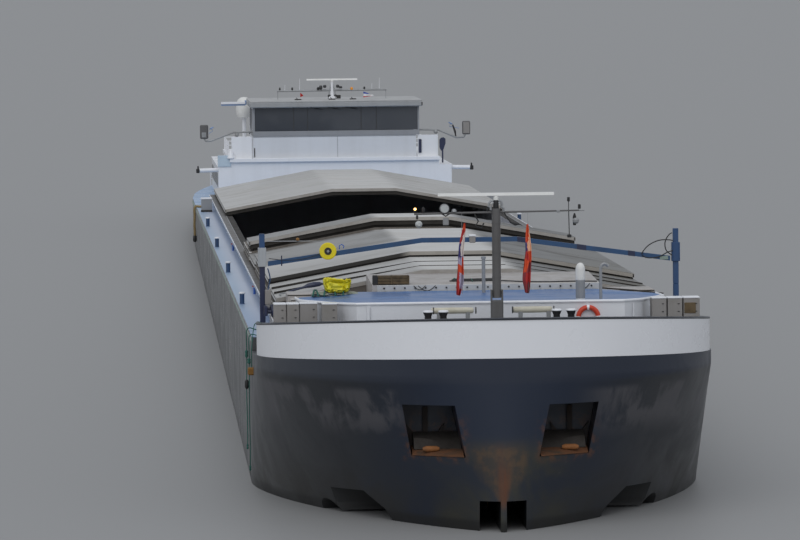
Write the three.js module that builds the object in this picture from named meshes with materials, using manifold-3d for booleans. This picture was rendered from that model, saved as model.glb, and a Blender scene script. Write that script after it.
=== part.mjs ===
// A general cargo vessel for inland waters, as a 1:10 scale model.
// Millimetres of the model, so 100 mm here are 1 m of the ship. The bow points to -Y, port is +X, up is +Z.
// The origin lies at the waterline, amidships, on the centreline.
import * as THREE from 'three';
import { mergeVertices } from 'three/addons/utils/BufferGeometryUtils.js';
import Module from 'manifold-3d';

const wasm = await Module();
wasm.setup();

// Driving dimensions of the hull. Stations are millimetres aft of the stem.
const LENGTH = 11000;
const BEAM = 1140;
const HALF_BEAM = BEAM / 2;
const KEEL_Z = -130;
const GANGWAY_Z = 413;
const COAMING_Z = 452;
const COAMING_X = 515;
const HOLD_HALF_WIDTH = 470;
const HOLD_FORE = 1270;
const HOLD_AFT = 8650;
const FLOOR_Z = KEEL_Z + 45;
const BILGE = 40;
const GAP = 0.3;

// The foredeck and its sheer.
const BAND_LOW_Z = 378;
const KNUCKLE_Z = 350;
const SHEER = 37;
const SHEER_END = 1000;
const FORECASTLE_END = 910;
const BAND_HEIGHT = 68;
const BAND_EXTRA_AT_STEM = 25;
const BULWARK_HEIGHT = 35;
const BULWARK_THICKNESS = 10;
const TRUNK_FORE = 378;
const TRUNK_FORE_Z = 526;
const TRUNK_AFT_Z = 511;
const TRUNK_RIDGE_HALF = 300;
const TRUNK_RIDGE_AFT_Z = 524;
const PLATFORM_Z = 540;
const LID_Z = 527;

// The hatch covers.
const COVER_HALF_WIDTH = 496.5;
const COVER_FLAT_HALF = 114;
const COVER_DROP = 69;
const COVER_DEPTH = 23;
const LAYER_THICKNESS = 8;
const LAYER_PITCH = 11;
const COVER_GAP = 6;
const APRON_FORE = 1230;
const APRON_LIFT = 17;

// The gantry.
const GANTRY_STATION = 1158;
const POST_X = 534;
const POST_WIDTH = 14;
const BEAM_TOP_Z = 647;
const BEAM_END_Z = 580;
const BEAM_DEPTH = 12;
const BEAM_HALF = 8;
const RAIL_X = 507.5;

// The mast on the foredeck.
const MAST_STATION = 166;
const MAST_PIVOT_Z = 562;
const MAST_TOP_Z = 785;
const MAST_RADIUS = 9.5;

// The superstructure.
const HOUSE_FORE = 9200;
const HOUSE_AFT = 10400;
const HOUSE_ROOF_Z = 570;
const BRIDGE_FORE = 9210;
const BRIDGE_AFT = 9700;
const BRIDGE_HALF = 325;
const BRIDGE_TOP_Z = 772;
const ROOF_Z = 799;
const WINDOW_LOW_Z = 678;
const WINDOW_HIGH_Z = 764;
const WALL = 8;

// Below the water.
const PROPELLER_STATION = 10350;
const SHAFT_Z = -45;
const PROPELLER_RADIUS = 75;
const RUDDER_STATION = 10480;
const RUDDER_X = 38;
const TUNNEL_ROOF_Z = 47;
const THRUSTER_STATION = 480;

const vessel = new THREE.Group();

const station = (s) => s - LENGTH / 2;

// Materials, with the colours of the real ship.
function paint(color, roughness = 0.5, metalness = 0.1) {
  return new THREE.MeshStandardMaterial({ color, roughness, metalness, flatShading: true });
}

const NAVY = paint(0x1d2a44);
const LIGHT_BLUE = paint(0x86aede);
const MID_BLUE = paint(0x2f5f9e);
const WHITE = paint(0xe9ebee);
const GREY = paint(0x8d8f90);
const ALUMINIUM = paint(0xc9c7bf, 0.4, 0.7);
const BLACK = paint(0x1a1a1c);
const STEEL = paint(0x77797b, 0.45, 0.6);
const YELLOW = paint(0xe8d51c);
const ORANGE = paint(0xe2401c);
const WOOD = paint(0x6d5530, 0.8, 0);
const RED = paint(0xc3231f);
const BRONZE = paint(0x9a7336, 0.35, 0.8);
const GLASS = paint(0x11161a, 0.1, 0);
const TIMBER_GREY = paint(0x9b9a92, 0.7, 0);

function addMesh(name, geometry, material, [x, y, z] = [0, 0, 0]) {
  const mesh = new THREE.Mesh(geometry, material);
  mesh.name = name;
  mesh.position.set(x, y, z);
  vessel.add(mesh);
  return mesh;
}

// Solids: conversion to and from the boolean library.
function toSolid(geometry) {
  const bare = geometry.clone();
  bare.deleteAttribute('normal');
  bare.deleteAttribute('uv');
  const merged = mergeVertices(bare, 1e-4);
  return new wasm.Manifold(new wasm.Mesh({
    numProp: 3,
    vertProperties: new Float32Array(merged.attributes.position.array),
    triVerts: new Uint32Array(merged.index.array),
  }));
}

function toGeometry(solid) {
  const mesh = solid.getMesh();
  const geometry = new THREE.BufferGeometry();
  geometry.setAttribute('position', new THREE.BufferAttribute(new Float32Array(mesh.vertProperties), 3));
  geometry.setIndex(new THREE.BufferAttribute(new Uint32Array(mesh.triVerts), 1));
  geometry.computeVertexNormals();
  return geometry;
}

function join(...geometries) {
  return toGeometry(geometries.map(toSolid).reduce((sum, next) => sum.add(next)));
}

function cut(geometry, ...tools) {
  return toGeometry(tools.map(toSolid).reduce((rest, tool) => rest.subtract(tool), toSolid(geometry)));
}

// The part of a geometry that stands above another one, a small gap clear of it.
function restOn(geometry, ground) {
  return cut(geometry, ground.clone().translate(0, 0, GAP));
}

// Simple shapes, given by their limits.
function box(x0, x1, y0, y1, z0, z1) {
  const geometry = new THREE.BoxGeometry(x1 - x0, y1 - y0, z1 - z0);
  return geometry.translate((x0 + x1) / 2, (y0 + y1) / 2, (z0 + z1) / 2);
}

const AXIS_TURNS = {
  x: (geometry) => geometry.rotateZ(-Math.PI / 2),
  y: (geometry) => geometry,
  z: (geometry) => geometry.rotateX(Math.PI / 2),
};

function cylinder(axis, radius, length, [x, y, z], sides = 16, endRadius = radius) {
  const geometry = new THREE.CylinderGeometry(endRadius, radius, length, sides);
  return AXIS_TURNS[axis](geometry).translate(x, y, z);
}

// A section in the XZ plane, swept along Y from one station to another.
function alongY(points, from, to) {
  const shape = new THREE.Shape(points.map(([x, z]) => new THREE.Vector2(x, z)));
  const geometry = new THREE.ExtrudeGeometry(shape, { depth: to - from, bevelEnabled: false });
  return geometry.rotateX(Math.PI / 2).translate(0, station(to), 0);
}

// A plan in the XY plane, with stations as its second number, raised from one height to another.
function alongZ(points, from, to) {
  const shape = new THREE.Shape(points.map(([x, s]) => new THREE.Vector2(x, station(s))));
  return new THREE.ExtrudeGeometry(shape, { depth: to - from, bevelEnabled: false }).translate(0, 0, from);
}

// A profile in the YZ plane, with stations as its first number, swept along X.
function alongX(points, from, to) {
  const shape = new THREE.Shape(points.map(([s, z]) => new THREE.Vector2(station(s), z)));
  const geometry = new THREE.ExtrudeGeometry(shape, { depth: to - from, bevelEnabled: false });
  return geometry.rotateX(Math.PI / 2).rotateZ(Math.PI / 2).translate(from, 0, 0);
}

const mirrored = (points) => [...points, ...points.map(([x, z]) => [-x, z]).reverse()];

// A hull form: for each station a list of [half-breadth, y, z] from the bottom up, mirrored and skinned.
function hullForm(sections) {
  const levels = sections[0].length;
  const around = 2 * levels;
  const positions = [];
  for (const section of sections) {
    for (const [x, y, z] of section) positions.push(x, y, z);
    for (const [x, y, z] of [...section].reverse()) positions.push(-x, y, z);
  }
  const index = [];
  const quad = (a, b, c, d) => index.push(a, b, c, a, c, d);
  for (let i = 0; i < sections.length - 1; i += 1) {
    for (let j = 0; j < around; j += 1) {
      const next = (j + 1) % around;
      quad(i * around + j, (i + 1) * around + j, (i + 1) * around + next, i * around + next);
    }
  }
  const last = (sections.length - 1) * around;
  for (let j = 0; j < levels - 1; j += 1) {
    const across = around - 1 - j;
    quad(j, j + 1, across - 1, across);
    quad(last + across, last + across - 1, last + j + 1, last + j);
  }
  const geometry = new THREE.BufferGeometry();
  geometry.setAttribute('position', new THREE.Float32BufferAttribute(positions, 3));
  geometry.setIndex(index);
  return geometry;
}

// Heights of the white band's lower edge and of the bulwark's top, which rise to the stem.
const bandZ = (s) => BAND_LOW_Z + SHEER * Math.max(0, 1 - s / SHEER_END) ** 1.45;
const bulwarkZ = (s) => bandZ(s) + BAND_HEIGHT + BAND_EXTRA_AT_STEM * Math.max(0, 1 - s / SHEER_END);

// Waterlines of the bow. Columns: height, rake of the stem, length to full beam, power, root, greatest
// half-breadth, share of the sheer.
const BOW_LEVELS = [
  [KEEL_Z, 90, 1150, 1.5, 1.15, HALF_BEAM - BILGE, 0],
  [KEEL_Z + BILGE, 55, 1150, 1.5, 1.2, HALF_BEAM, 0],
  [0, 0, 1100, 1.6, 1.25, HALF_BEAM, 0],
  [170, 0, 930, 1.8, 1.6, HALF_BEAM, 0],
  [290, 0, 790, 1.9, 1.85, HALF_BEAM, 0],
  [KNUCKLE_Z, 0, 710, 2, 2, HALF_BEAM, 0.45],
  [BAND_LOW_Z, 0, 710, 2, 2, HALF_BEAM, 1],
];
const BOW_STEPS = [0, 0.02, 0.06, 0.12, 0.2, 0.3, 0.42, 0.56, 0.72, 0.86, 1];
const STEM_HALF = 5;

function breadth(distance, run, power, root, greatest) {
  const share = Math.max(0, 1 - distance / run);
  return Math.max(STEM_HALF, greatest * (1 - share ** power) ** (1 / root));
}

function bowBlock() {
  const sections = BOW_STEPS.map((step) => BOW_LEVELS.map(([z, rake, run, power, root, greatest, sheer]) => {
    const s = rake + (HOLD_FORE - rake) * step;
    return [breadth(s - rake, run, power, root, greatest), station(s), z + sheer * (bandZ(s) - BAND_LOW_Z)];
  }));
  const shoulder = box(-HALF_BEAM, HALF_BEAM, station(FORECASTLE_END + 5), station(HOLD_FORE), KNUCKLE_Z, GANGWAY_Z);
  return join(hullForm(sections), shoulder);
}

// The plan of the forecastle, drawn in by an inset, between two heights that follow the sheer.
function forecastleForm(inset, end, bottom, top) {
  const steps = [0, 0.015, 0.04, 0.08, 0.14, 0.22, 0.32, 0.44, 0.58, 0.74, 1];
  const sections = steps.map((step) => {
    const s = inset + (end - inset) * step;
    const half = Math.max(STEM_HALF, breadth(s - inset, 710, 2, 2, HALF_BEAM - inset));
    return [[half, station(s), bottom(s)], [half, station(s), top(s)]];
  });
  return hullForm(sections);
}

const bow = bowBlock();

// The bow: anchor pockets, two intakes under the stem and the thruster's tunnel are cut out.
const POCKET = { inner: 113, outer: 236, low: 181, high: 305, back: 205 };
const INTAKE = { inner: 8, outer: 56, low: -60, high: 75 };
const TUNNEL_RADIUS = 44;

function pocketTools() {
  const tools = [];
  for (const side of [-1, 1]) {
    const pocket = [side * POCKET.inner, side * POCKET.outer].sort((a, b) => a - b);
    tools.push(box(pocket[0], pocket[1], station(-50), station(POCKET.back), POCKET.low, POCKET.high));
    const intake = [side * INTAKE.inner, side * INTAKE.outer].sort((a, b) => a - b);
    tools.push(box(intake[0], intake[1], station(-50), station(THRUSTER_STATION), INTAKE.low, INTAKE.high));
  }
  tools.push(cylinder('x', TUNNEL_RADIUS, BEAM + 100, [0, station(THRUSTER_STATION), 0], 20));
  return tools;
}

const THRUSTER_POD = join(
  cylinder('x', 9, 35 - GAP, [22.5 + GAP / 2, station(THRUSTER_STATION), 0], 12),
  box(18, 30, station(THRUSTER_STATION) - 4, station(THRUSTER_STATION) + 4, 0, TUNNEL_RADIUS + 45),
);
addMesh('hull_bow', join(cut(bow, ...pocketTools()), THRUSTER_POD), NAVY);

const rotorBlades = (radius, count, chord, thickness, pitch) => {
  const blades = [];
  for (let i = 0; i < count; i += 1) {
    const blade = new THREE.BoxGeometry(chord, thickness, radius - 4);
    blades.push(blade.rotateZ(pitch).translate(0, 0, (radius + 4) / 2).rotateX(i * 2 * Math.PI / count));
  }
  return blades;
};

addMesh('bow_thruster', join(
  cylinder('x', 9, 16, [0, 0, 0], 12),
  ...rotorBlades(37, 4, 12, 3, 0.6),
), BRONZE, [-3, station(THRUSTER_STATION), 0]);

// The forecastle: white band, deck and bulwark in one.
const forecastleBlock = forecastleForm(0, FORECASTLE_END, (s) => bandZ(s) + GAP, bulwarkZ);
const foredeckZ = (s) => bulwarkZ(s) - BULWARK_HEIGHT;
const forecastle = cut(
  forecastleBlock,
  forecastleForm(BULWARK_THICKNESS, FORECASTLE_END + 50, foredeckZ, (s) => foredeckZ(s) + 80),
);
addMesh('forecastle', forecastle, WHITE);

// What stands on the foredeck is cut off by it.
const onForedeck = (geometry) => restOn(geometry, forecastle);

const TRUNK_PLAN = [[328, TRUNK_FORE], [370, 430], [415, 560], [455, 700], [458, FORECASTLE_END]];
const trunkZ = (s, aftZ) => TRUNK_FORE_Z + (aftZ - TRUNK_FORE_Z) * (s - TRUNK_FORE) / (FORECASTLE_END - TRUNK_FORE);

function trunk() {
  const body = onForedeck(hullForm(TRUNK_PLAN.map(([half, s]) => [
    [half, station(s), 400],
    [half, station(s), trunkZ(s, TRUNK_AFT_Z)],
    [TRUNK_RIDGE_HALF, station(s), trunkZ(s, TRUNK_RIDGE_AFT_Z)],
  ])));
  const vent = cylinder('z', 11, 62, [226, station(450), 550], 12);
  const dome = new THREE.SphereGeometry(12, 12, 8).scale(1, 1, 2).translate(226, station(450), 592);
  const pipe = cylinder('z', 4, 94, [277, station(460), 565], 8);
  const bend = box(273, 291, station(456), station(464), 609, 617);
  const post = cylinder('z', 5, 108, [12, station(800), 563], 8);
  const lid = box(-420, -300, station(800), station(890), 505, LID_Z);
  return join(body, vent, dome, pipe, bend, post, lid);
}
addMesh('foredeck_trunk', trunk(), LIGHT_BLUE);

// Lockers. Columns: name, then for each box its inner and outer x, first and last station and top.
const LOCKERS = [
  ['lockers_starboard', [[-526, -418, 500, 552, 523], [-414, -375, 378, 430, 523], [-432, -409, 400, 520, 470]]],
  ['lockers_port', [[400, 520, 440, 488, 529]]],
];
for (const [name, boxes] of LOCKERS) {
  const solids = boxes.map(([x0, x1, s0, s1, top]) => box(x0, x1, station(s0), station(s1), 400, top));
  addMesh(name, onForedeck(join(...solids)), TIMBER_GREY);
}

// Windlass with two drums, and a pair of bollards on each side of the mast.
addMesh('windlass', onForedeck(join(
  box(-160, 145, station(250), station(278), 430, 496),
  cylinder('x', 8, 104, [-101, station(264), 513], 12),
  cylinder('x', 8, 98, [93, station(264), 513], 12),
  box(-140, -128, station(258), station(270), 490, 513),
  box(-70, -58, station(258), station(270), 490, 513),
  box(58, 70, station(258), station(270), 490, 513),
  box(126, 138, station(258), station(270), 490, 513),
)), WHITE);

const BOLLARD_PLACES = [-164, -127, 147, 182];
addMesh('bollards_fore', onForedeck(join(
  box(-195, -105, station(190), station(220), 430, 476),
  box(125, 213, station(190), station(220), 430, 476),
  box(-110, 130, station(200), station(210), 430, 468),
  ...BOLLARD_PLACES.flatMap((x) => [
    cylinder('z', 9, 90, [x, station(205), 468], 12),
    cylinder('z', 13, 6, [x, station(205), 516], 12),
  ]),
)), BLACK);

addMesh('life_ring', new THREE.TorusGeometry(24, 6, 8, 20)
  .rotateX(Math.PI / 2).translate(238, station(TRUNK_FORE - 6 - GAP), 487), ORANGE);
addMesh('crate', box(-260, -168, station(925), station(965), PLATFORM_Z + 2, PLATFORM_Z + 23), WOOD);
addMesh('bag', new THREE.SphereGeometry(1, 12, 8).scale(37, 30, 19)
  .translate(-355, station(848), LID_Z + 19.3), YELLOW);

// Anchors, in their pockets.
function anchor(side) {
  const x = side * (POCKET.inner + POCKET.outer) / 2;
  const plan = mirrored([[6, 0], [40, 14], [46, 60], [30, 40], [8, 30]]);
  const shape = new THREE.Shape(plan.map(([u, v]) => new THREE.Vector2(u, v)));
  const flukes = new THREE.ExtrudeGeometry(shape, { depth: 16, bevelEnabled: false });
  const shank = box(-6, 6, 10, 100, 4, 14);
  const head = box(-44, 44, -1, 14, 0, 18);
  return toGeometry(toSolid(flukes).add(toSolid(shank)).add(toSolid(head)))
    .rotateX(Math.PI / 2).translate(x, station(POCKET.back) - GAP, POCKET.low + 6);
}
addMesh('anchor_starboard', anchor(-1), STEEL);
addMesh('anchor_port', anchor(1), STEEL);

// Mast foot with two cheeks, and the mast that folds aft between them.
const mastY = station(MAST_STATION);
addMesh('mast_foot', onForedeck(join(
  box(-15, 15, mastY - 12, mastY + 12, 430, MAST_PIVOT_Z - 17),
  box(-15, -11, mastY - 10, mastY + 10, 500, MAST_PIVOT_Z + 8),
  box(11, 15, mastY - 10, mastY + 10, 500, MAST_PIVOT_Z + 8),
)), GREY);

const YARD_Z = 755;
// Fittings on the yard. Columns: x, height of the centre over the yard, radius, height.
const YARD_FITTINGS = [
  [-196, 8, 3, 14],
  [-178, 9, 3, 16],
  [-128, 3, 11, 22],
  [-105, 4, 5, 10],
  [-186, -14, 9, 24],
  [-125, -12, 6, 20],
  [180, -14, 4, 24],
];
addMesh('bow_mast', join(
  cylinder('z', MAST_RADIUS, MAST_TOP_Z - MAST_PIVOT_Z + 12, [0, mastY, (MAST_TOP_Z + MAST_PIVOT_Z - 12) / 2], 12),
  cylinder('x', 4, 22 - 2 * GAP, [0, mastY, MAST_PIVOT_Z], 12),
  box(-200, 214, mastY - 5, mastY + 5, YARD_Z - 2.5, YARD_Z + 2.5),
  box(-84, -82, mastY - 1, mastY + 1, 714, YARD_Z),
  box(75, 77, mastY - 1, mastY + 1, 714, YARD_Z),
  ...YARD_FITTINGS.map(([x, up, radius, height]) => cylinder('z', radius, height, [x, mastY, YARD_Z + up], 10)),
), GREY);
addMesh('bow_radar', join(
  cylinder('z', 7, 10, [0, mastY, MAST_TOP_Z + GAP + 5], 12),
  box(-140, 140, mastY - 6, mastY + 6, MAST_TOP_Z + 10, MAST_TOP_Z + 18),
), WHITE);
for (const [name, x] of [['flag_starboard', -83], ['flag_port', 76]]) {
  addMesh(name, box(x - 7, x + 7, mastY - 4, mastY + 4, 566, 714 - GAP), RED);
}

// The hold: double bottom, wing tanks with gangway, coaming, rail and bollards, and both hatch ends.
addMesh('hull_bottom', box(-HOLD_HALF_WIDTH, HOLD_HALF_WIDTH, station(HOLD_FORE), station(HOLD_AFT),
  KEEL_Z, FLOOR_Z), NAVY);

const BOLLARD_STATIONS = [2285, 3874, 5394, 6851];
const BOLLARD_X = 557;

function wingTank(side) {
  const section = [
    [HOLD_HALF_WIDTH, KEEL_Z], [HALF_BEAM - BILGE, KEEL_Z], [HALF_BEAM, KEEL_Z + BILGE],
    [HALF_BEAM, GANGWAY_Z], [COAMING_X - 13, GANGWAY_Z], [COAMING_X - 13, COAMING_Z - 12],
    [COAMING_X, COAMING_Z - 12], [COAMING_X, COAMING_Z], [HOLD_HALF_WIDTH, COAMING_Z],
  ].map(([x, z]) => [side * x, z]);
  const bollards = BOLLARD_STATIONS.flatMap((s) => [
    cylinder('z', 7, 36, [side * BOLLARD_X, station(s), GANGWAY_Z + 16], 10),
    cylinder('z', 9, 4, [side * BOLLARD_X, station(s), GANGWAY_Z + 33], 10),
  ]);
  return join(alongY(section, HOLD_FORE, HOLD_AFT), ...bollards);
}
addMesh('hull_side_starboard', wingTank(-1), LIGHT_BLUE);
addMesh('hull_side_port', wingTank(1), LIGHT_BLUE);

// The fore end of the hatch: coaming, a bolted platform and the arch that the first cover meets.
const archTop = (lift) => COAMING_Z + COVER_DROP + COVER_DEPTH + lift;
const coamingSection = mirrored([
  [COAMING_X - 13, GANGWAY_Z], [COAMING_X - 13, COAMING_Z - 12], [COAMING_X, COAMING_Z - 12], [COAMING_X, COAMING_Z],
]);
const apronSection = mirrored([
  [COVER_HALF_WIDTH, COAMING_Z - 5], [COVER_HALF_WIDTH, COAMING_Z + COVER_DEPTH + APRON_LIFT],
  [COVER_FLAT_HALF, archTop(APRON_LIFT)],
]);
addMesh('hatch_end_fore', restOn(join(
  alongY(coamingSection, FORECASTLE_END + 5, HOLD_FORE),
  alongX([[915, 430], [915, PLATFORM_Z], [APRON_FORE + 5, PLATFORM_Z + 11], [APRON_FORE + 5, 430]], -263, 314),
  alongY(apronSection, APRON_FORE, HOLD_FORE),
), bow), ALUMINIUM);
const hatchEndSection = mirrored([
  [HOLD_HALF_WIDTH + 20, GANGWAY_Z - 10], [HOLD_HALF_WIDTH + 20, COAMING_Z], [COVER_FLAT_HALF, archTop(-2)],
]);

// Hatch covers. Columns: name, first station, length, number of layers, height of the top one over the lowest,
// length of the top one.
const COVERS = [
  ['cover_fore_1', 1274, 616, 2, 15, 616],
  ['cover_fore_2', 1890, 640, 3, 30, 640],
  ['cover_fore_3', 2530, 640, 3, 30, 640],
  ['cover_fore_4', 3170, 590, 1, 0, 590],
  ['cover_stack', 3760, 612, 4, 37, 250],
  ['cover_aft_1', 6810, 612, 1, 0, 612],
  ['cover_aft_2', 7422, 612, 1, 0, 612],
  ['cover_aft_3', 8034, 612, 1, 0, 612],
];

function archSection(lift, thickness, inset) {
  const edge = COVER_HALF_WIDTH - inset;
  const low = COAMING_Z + GAP + lift;
  const slope = COVER_DROP / (COVER_HALF_WIDTH - COVER_FLAT_HALF);
  const edgeLow = low + slope * inset;
  return [
    [edge, edgeLow], [edge, edgeLow + thickness],
    [COVER_FLAT_HALF, low + COVER_DROP + thickness], [-COVER_FLAT_HALF, low + COVER_DROP + thickness],
    [-edge, edgeLow + thickness], [-edge, edgeLow],
    [-COVER_FLAT_HALF, low + COVER_DROP], [COVER_FLAT_HALF, low + COVER_DROP],
  ];
}

for (const [name, first, length, layers, topLift, topLength] of COVERS) {
  const from = first + COVER_GAP / 2;
  const to = first + length - COVER_GAP / 2;
  const topTo = first + topLength - COVER_GAP / 2;
  const slabs = [alongY(archSection(topLift, COVER_DEPTH, 0), from, topTo)];
  for (let layer = 0; layer < layers - 1; layer += 1) {
    slabs.push(alongY(archSection(layer * LAYER_PITCH, LAYER_THICKNESS, 0), from, to));
  }
  if (layers > 1) {
    slabs.push(alongY(archSection(1, LAYER_PITCH * (layers - 1) - 4, 14), from + 12, to - 12));
    slabs.push(alongY(archSection(1, topLift, 14), from + 12, topTo - 12));
  }
  addMesh(name, join(...slabs), ALUMINIUM);
}

// The gantry: posts with their rail frames, wheels, lifting beam and cable reel.
const gantryY = station(GANTRY_STATION);
const WHEEL_RADIUS = 13;
const WHEEL_REACH = 55;
const POST_TOP_Z = 663;
const FRAME_X = 524;
const wheelZ = COAMING_Z + GAP + WHEEL_RADIUS;

for (const [name, side] of [['gantry_post_starboard', -1], ['gantry_post_port', 1]]) {
  const half = POST_WIDTH / 2;
  const solids = [
    [POST_X - half, POST_X + half, -half, half, 434, POST_TOP_Z],
    [FRAME_X, FRAME_X + 8, -80, 80, wheelZ - 8, wheelZ + 14],
  ].map(([x0, x1, y0, y1, z0, z1]) => {
    const ends = [side * x0, side * x1].sort((a, b) => a - b);
    return box(ends[0], ends[1], gantryY + y0, gantryY + y1, z0, z1);
  });
  addMesh(name, join(...solids), MID_BLUE);
}

for (const [sideName, side] of [['starboard', -1], ['port', 1]]) {
  for (const [endName, reach] of [['fore', -WHEEL_REACH], ['aft', WHEEL_REACH]]) {
    const wheel = join(
      cylinder('x', WHEEL_RADIUS, 11, [side * RAIL_X, gantryY + reach, wheelZ], 20),
      cylinder('x', 5, 12, [side * (FRAME_X - GAP - 6), gantryY + reach, wheelZ], 10),
    );
    addMesh(`gantry_wheel_${sideName}_${endName}`, wheel, MID_BLUE);
  }
}

function liftingBeam() {
  const bore = POST_WIDTH / 2 + GAP;
  const [end, knee] = [520, 122];
  const top = [[knee, BEAM_TOP_Z], [end, BEAM_END_Z + BEAM_DEPTH]];
  const under = [[end, BEAM_END_Z], [knee, BEAM_TOP_Z - BEAM_DEPTH]];
  const otherSide = (points) => points.map(([x, z]) => [-x, z]).reverse();
  const section = [...top, ...under, ...otherSide(under), ...otherSide(top)];
  const arch = alongY(section, GANTRY_STATION - BEAM_HALF, GANTRY_STATION + BEAM_HALF);
  const sleeves = [-1, 1].map((side) => cut(
    box(side * POST_X - 15, side * POST_X + 15, gantryY - 14, gantryY + 14, 575, 629),
    box(side * POST_X - bore, side * POST_X + bore, gantryY - bore, gantryY + bore, 560, 640),
  ));
  return join(arch, ...sleeves);
}
addMesh('gantry_beam', liftingBeam(), MID_BLUE);
addMesh('cable_reel', join(
  cylinder('y', 22, 8, [-365, gantryY - 16, 617], 20),
  cylinder('y', 6, 8, [-365, gantryY - 12 - GAP, 617], 10),
), YELLOW);

// The stern: a block whose bottom rises to the transom. Columns: station, bottom, half-breadth at the bottom,
// half-breadth at the bilge and at the deck.
const STERN_SECTIONS = [
  [HOLD_AFT, KEEL_Z, HALF_BEAM - BILGE, HALF_BEAM, HALF_BEAM],
  [9300, KEEL_Z, 525, 565, 567],
  [9700, KEEL_Z + 5, 505, 548, 553],
  [10000, -80, 475, 520, 530],
  [10300, -20, 435, 480, 497],
  [10600, 5, 385, 430, 457],
  [10850, 14, 335, 385, 412],
  [LENGTH, 20, 290, 345, 370],
];
const TRANSOM_Z = GANGWAY_Z;
const CASING_Z = 490;

function sternBlock() {
  const body = hullForm(STERN_SECTIONS.map(([s, bottom, low, bilge, deck]) => [
    [low, station(s), bottom],
    [bilge, station(s), bottom + BILGE],
    [deck, station(s), 180],
    [deck, station(s), TRANSOM_Z],
  ]));
  const tunnel = alongY(mirrored([[120, -200], [120, 20], [90, TUNNEL_ROOF_Z]]), 10130, 10760);
  const engineRoom = box(-150, 150, station(9480), station(9830), FLOOR_Z, GANGWAY_Z + 20);
  const skeg = alongX([[9700, KEEL_Z], [10240, KEEL_Z], [10240, -70], [10180, TUNNEL_ROOF_Z + 20],
    [9900, 0], [9850, -95]], -7, 7);
  const boss = cylinder('y', 13, 160, [0, station(10235), SHAFT_Z], 12);
  const bollards = [-1, 1].flatMap((side) => [-25, 25].map((offset) => (
    cylinder('z', 12, 60, [side * 340, station(10820) + offset, GANGWAY_Z + 29], 10))));
  const hatchEnd = alongY(hatchEndSection, HOLD_AFT, HOLD_AFT + 16);
  const casing = box(-120, 120, station(10470), station(10700), GANGWAY_Z - 10, CASING_Z);
  const exhausts = [-60, 60].map((x) => cylinder('z', 12, 70, [x, station(10560), CASING_Z + 33], 10));
  return join(cut(body, tunnel, engineRoom), skeg, boss, hatchEnd, casing, ...exhausts, ...bollards);
}
addMesh('hull_stern', sternBlock(), NAVY);
addMesh('engine', box(-62, 62, station(9520), station(9790), FLOOR_Z, 80), STEEL);

const NOZZLE_LENGTH = 60;
const NOZZLE_INNER = PROPELLER_RADIUS + 7;
const nozzleProfile = [[0, -1], [6, -1], [4, 1], [0, 1], [0, -1]]
  .map(([out, end]) => new THREE.Vector2(NOZZLE_INNER + out, end * NOZZLE_LENGTH / 2));
const NOZZLE_TOP = SHAFT_Z + NOZZLE_INNER + 3;
addMesh('propeller_nozzle', join(
  new THREE.LatheGeometry(nozzleProfile, 24).translate(0, station(PROPELLER_STATION), SHAFT_Z),
  box(-8, 8, station(PROPELLER_STATION) - 20, station(PROPELLER_STATION) + 20, NOZZLE_TOP - 2,
    TUNNEL_ROOF_Z - GAP),
), NAVY);

addMesh('propeller', join(
  cylinder('x', 11, 44, [0, 0, 0], 12),
  ...rotorBlades(PROPELLER_RADIUS, 4, 34, 4, 0.7),
).rotateZ(Math.PI / 2), BRONZE, [0, station(PROPELLER_STATION) - 13 + GAP, SHAFT_Z]);

const RUDDER_TOP_Z = 30;
for (const [name, side] of [['rudder_starboard', -1], ['rudder_port', 1]]) {
  const plan = [[0, -28], [5, -14], [5, 20], [1.5, 82], [-1.5, 82], [-5, 20], [-5, -14]]
    .map(([x, along]) => [side * RUDDER_X + x, RUDDER_STATION + along]);
  addMesh(name, join(
    alongZ(plan, -125, RUDDER_TOP_Z),
    cylinder('z', 6, 20, [side * RUDDER_X, station(RUDDER_STATION), TUNNEL_ROOF_Z - GAP - 10], 10),
  ), NAVY);
}

// The deckhouse: stepped walls, open below to the deck, with a doorway aft, and a roof slab.
const HOUSE_WIDE = 465;
const HOUSE_NARROW = 415;
const HOUSE_STEP_Z = 537;
const ROOF_THICKNESS = 14;
const houseTop = HOUSE_ROOF_Z - ROOF_THICKNESS;
const DOOR = { low: 419, high: 547, x0: 250, x1: 330 };
const houseSection = (inset) => mirrored([
  [HOUSE_WIDE - inset, GANGWAY_Z + (inset ? -20 : GAP)], [HOUSE_WIDE - inset, HOUSE_STEP_Z - inset],
  [HOUSE_NARROW - inset, HOUSE_STEP_Z - inset], [HOUSE_NARROW - inset, houseTop + (inset ? 20 : 0)],
]);
addMesh('deckhouse_walls', cut(
  alongY(houseSection(0), HOUSE_FORE, HOUSE_AFT),
  alongY(houseSection(10), HOUSE_FORE + 10, HOUSE_AFT - 10),
  box(DOOR.x0 - 5, DOOR.x1 + 5, station(HOUSE_AFT - 20), station(HOUSE_AFT + 20), DOOR.low - 5, DOOR.high + 5),
), WHITE);

// A door's barrel hinges: each has a leaf that reaches from the barrel onto the door.
const BARREL_RADIUS = 2.2;
function barrel(x, y, z, leafX, leafY) {
  const leaf = box(Math.min(x, x + leafX), Math.max(x, x + leafX), Math.min(y, y + leafY), Math.max(y, y + leafY),
    z - 6, z + 6);
  return [cylinder('z', BARREL_RADIUS, 14, [x, y, z], 10), leaf];
}

addMesh('deckhouse_door', join(
  box(DOOR.x0, DOOR.x1, station(HOUSE_AFT - 8), station(HOUSE_AFT), DOOR.low, DOOR.high),
  ...[450, 516].flatMap((z) => barrel(DOOR.x0 - 2.5, station(HOUSE_AFT) - 2, z, 4, 1.8)),
), WHITE);

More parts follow.
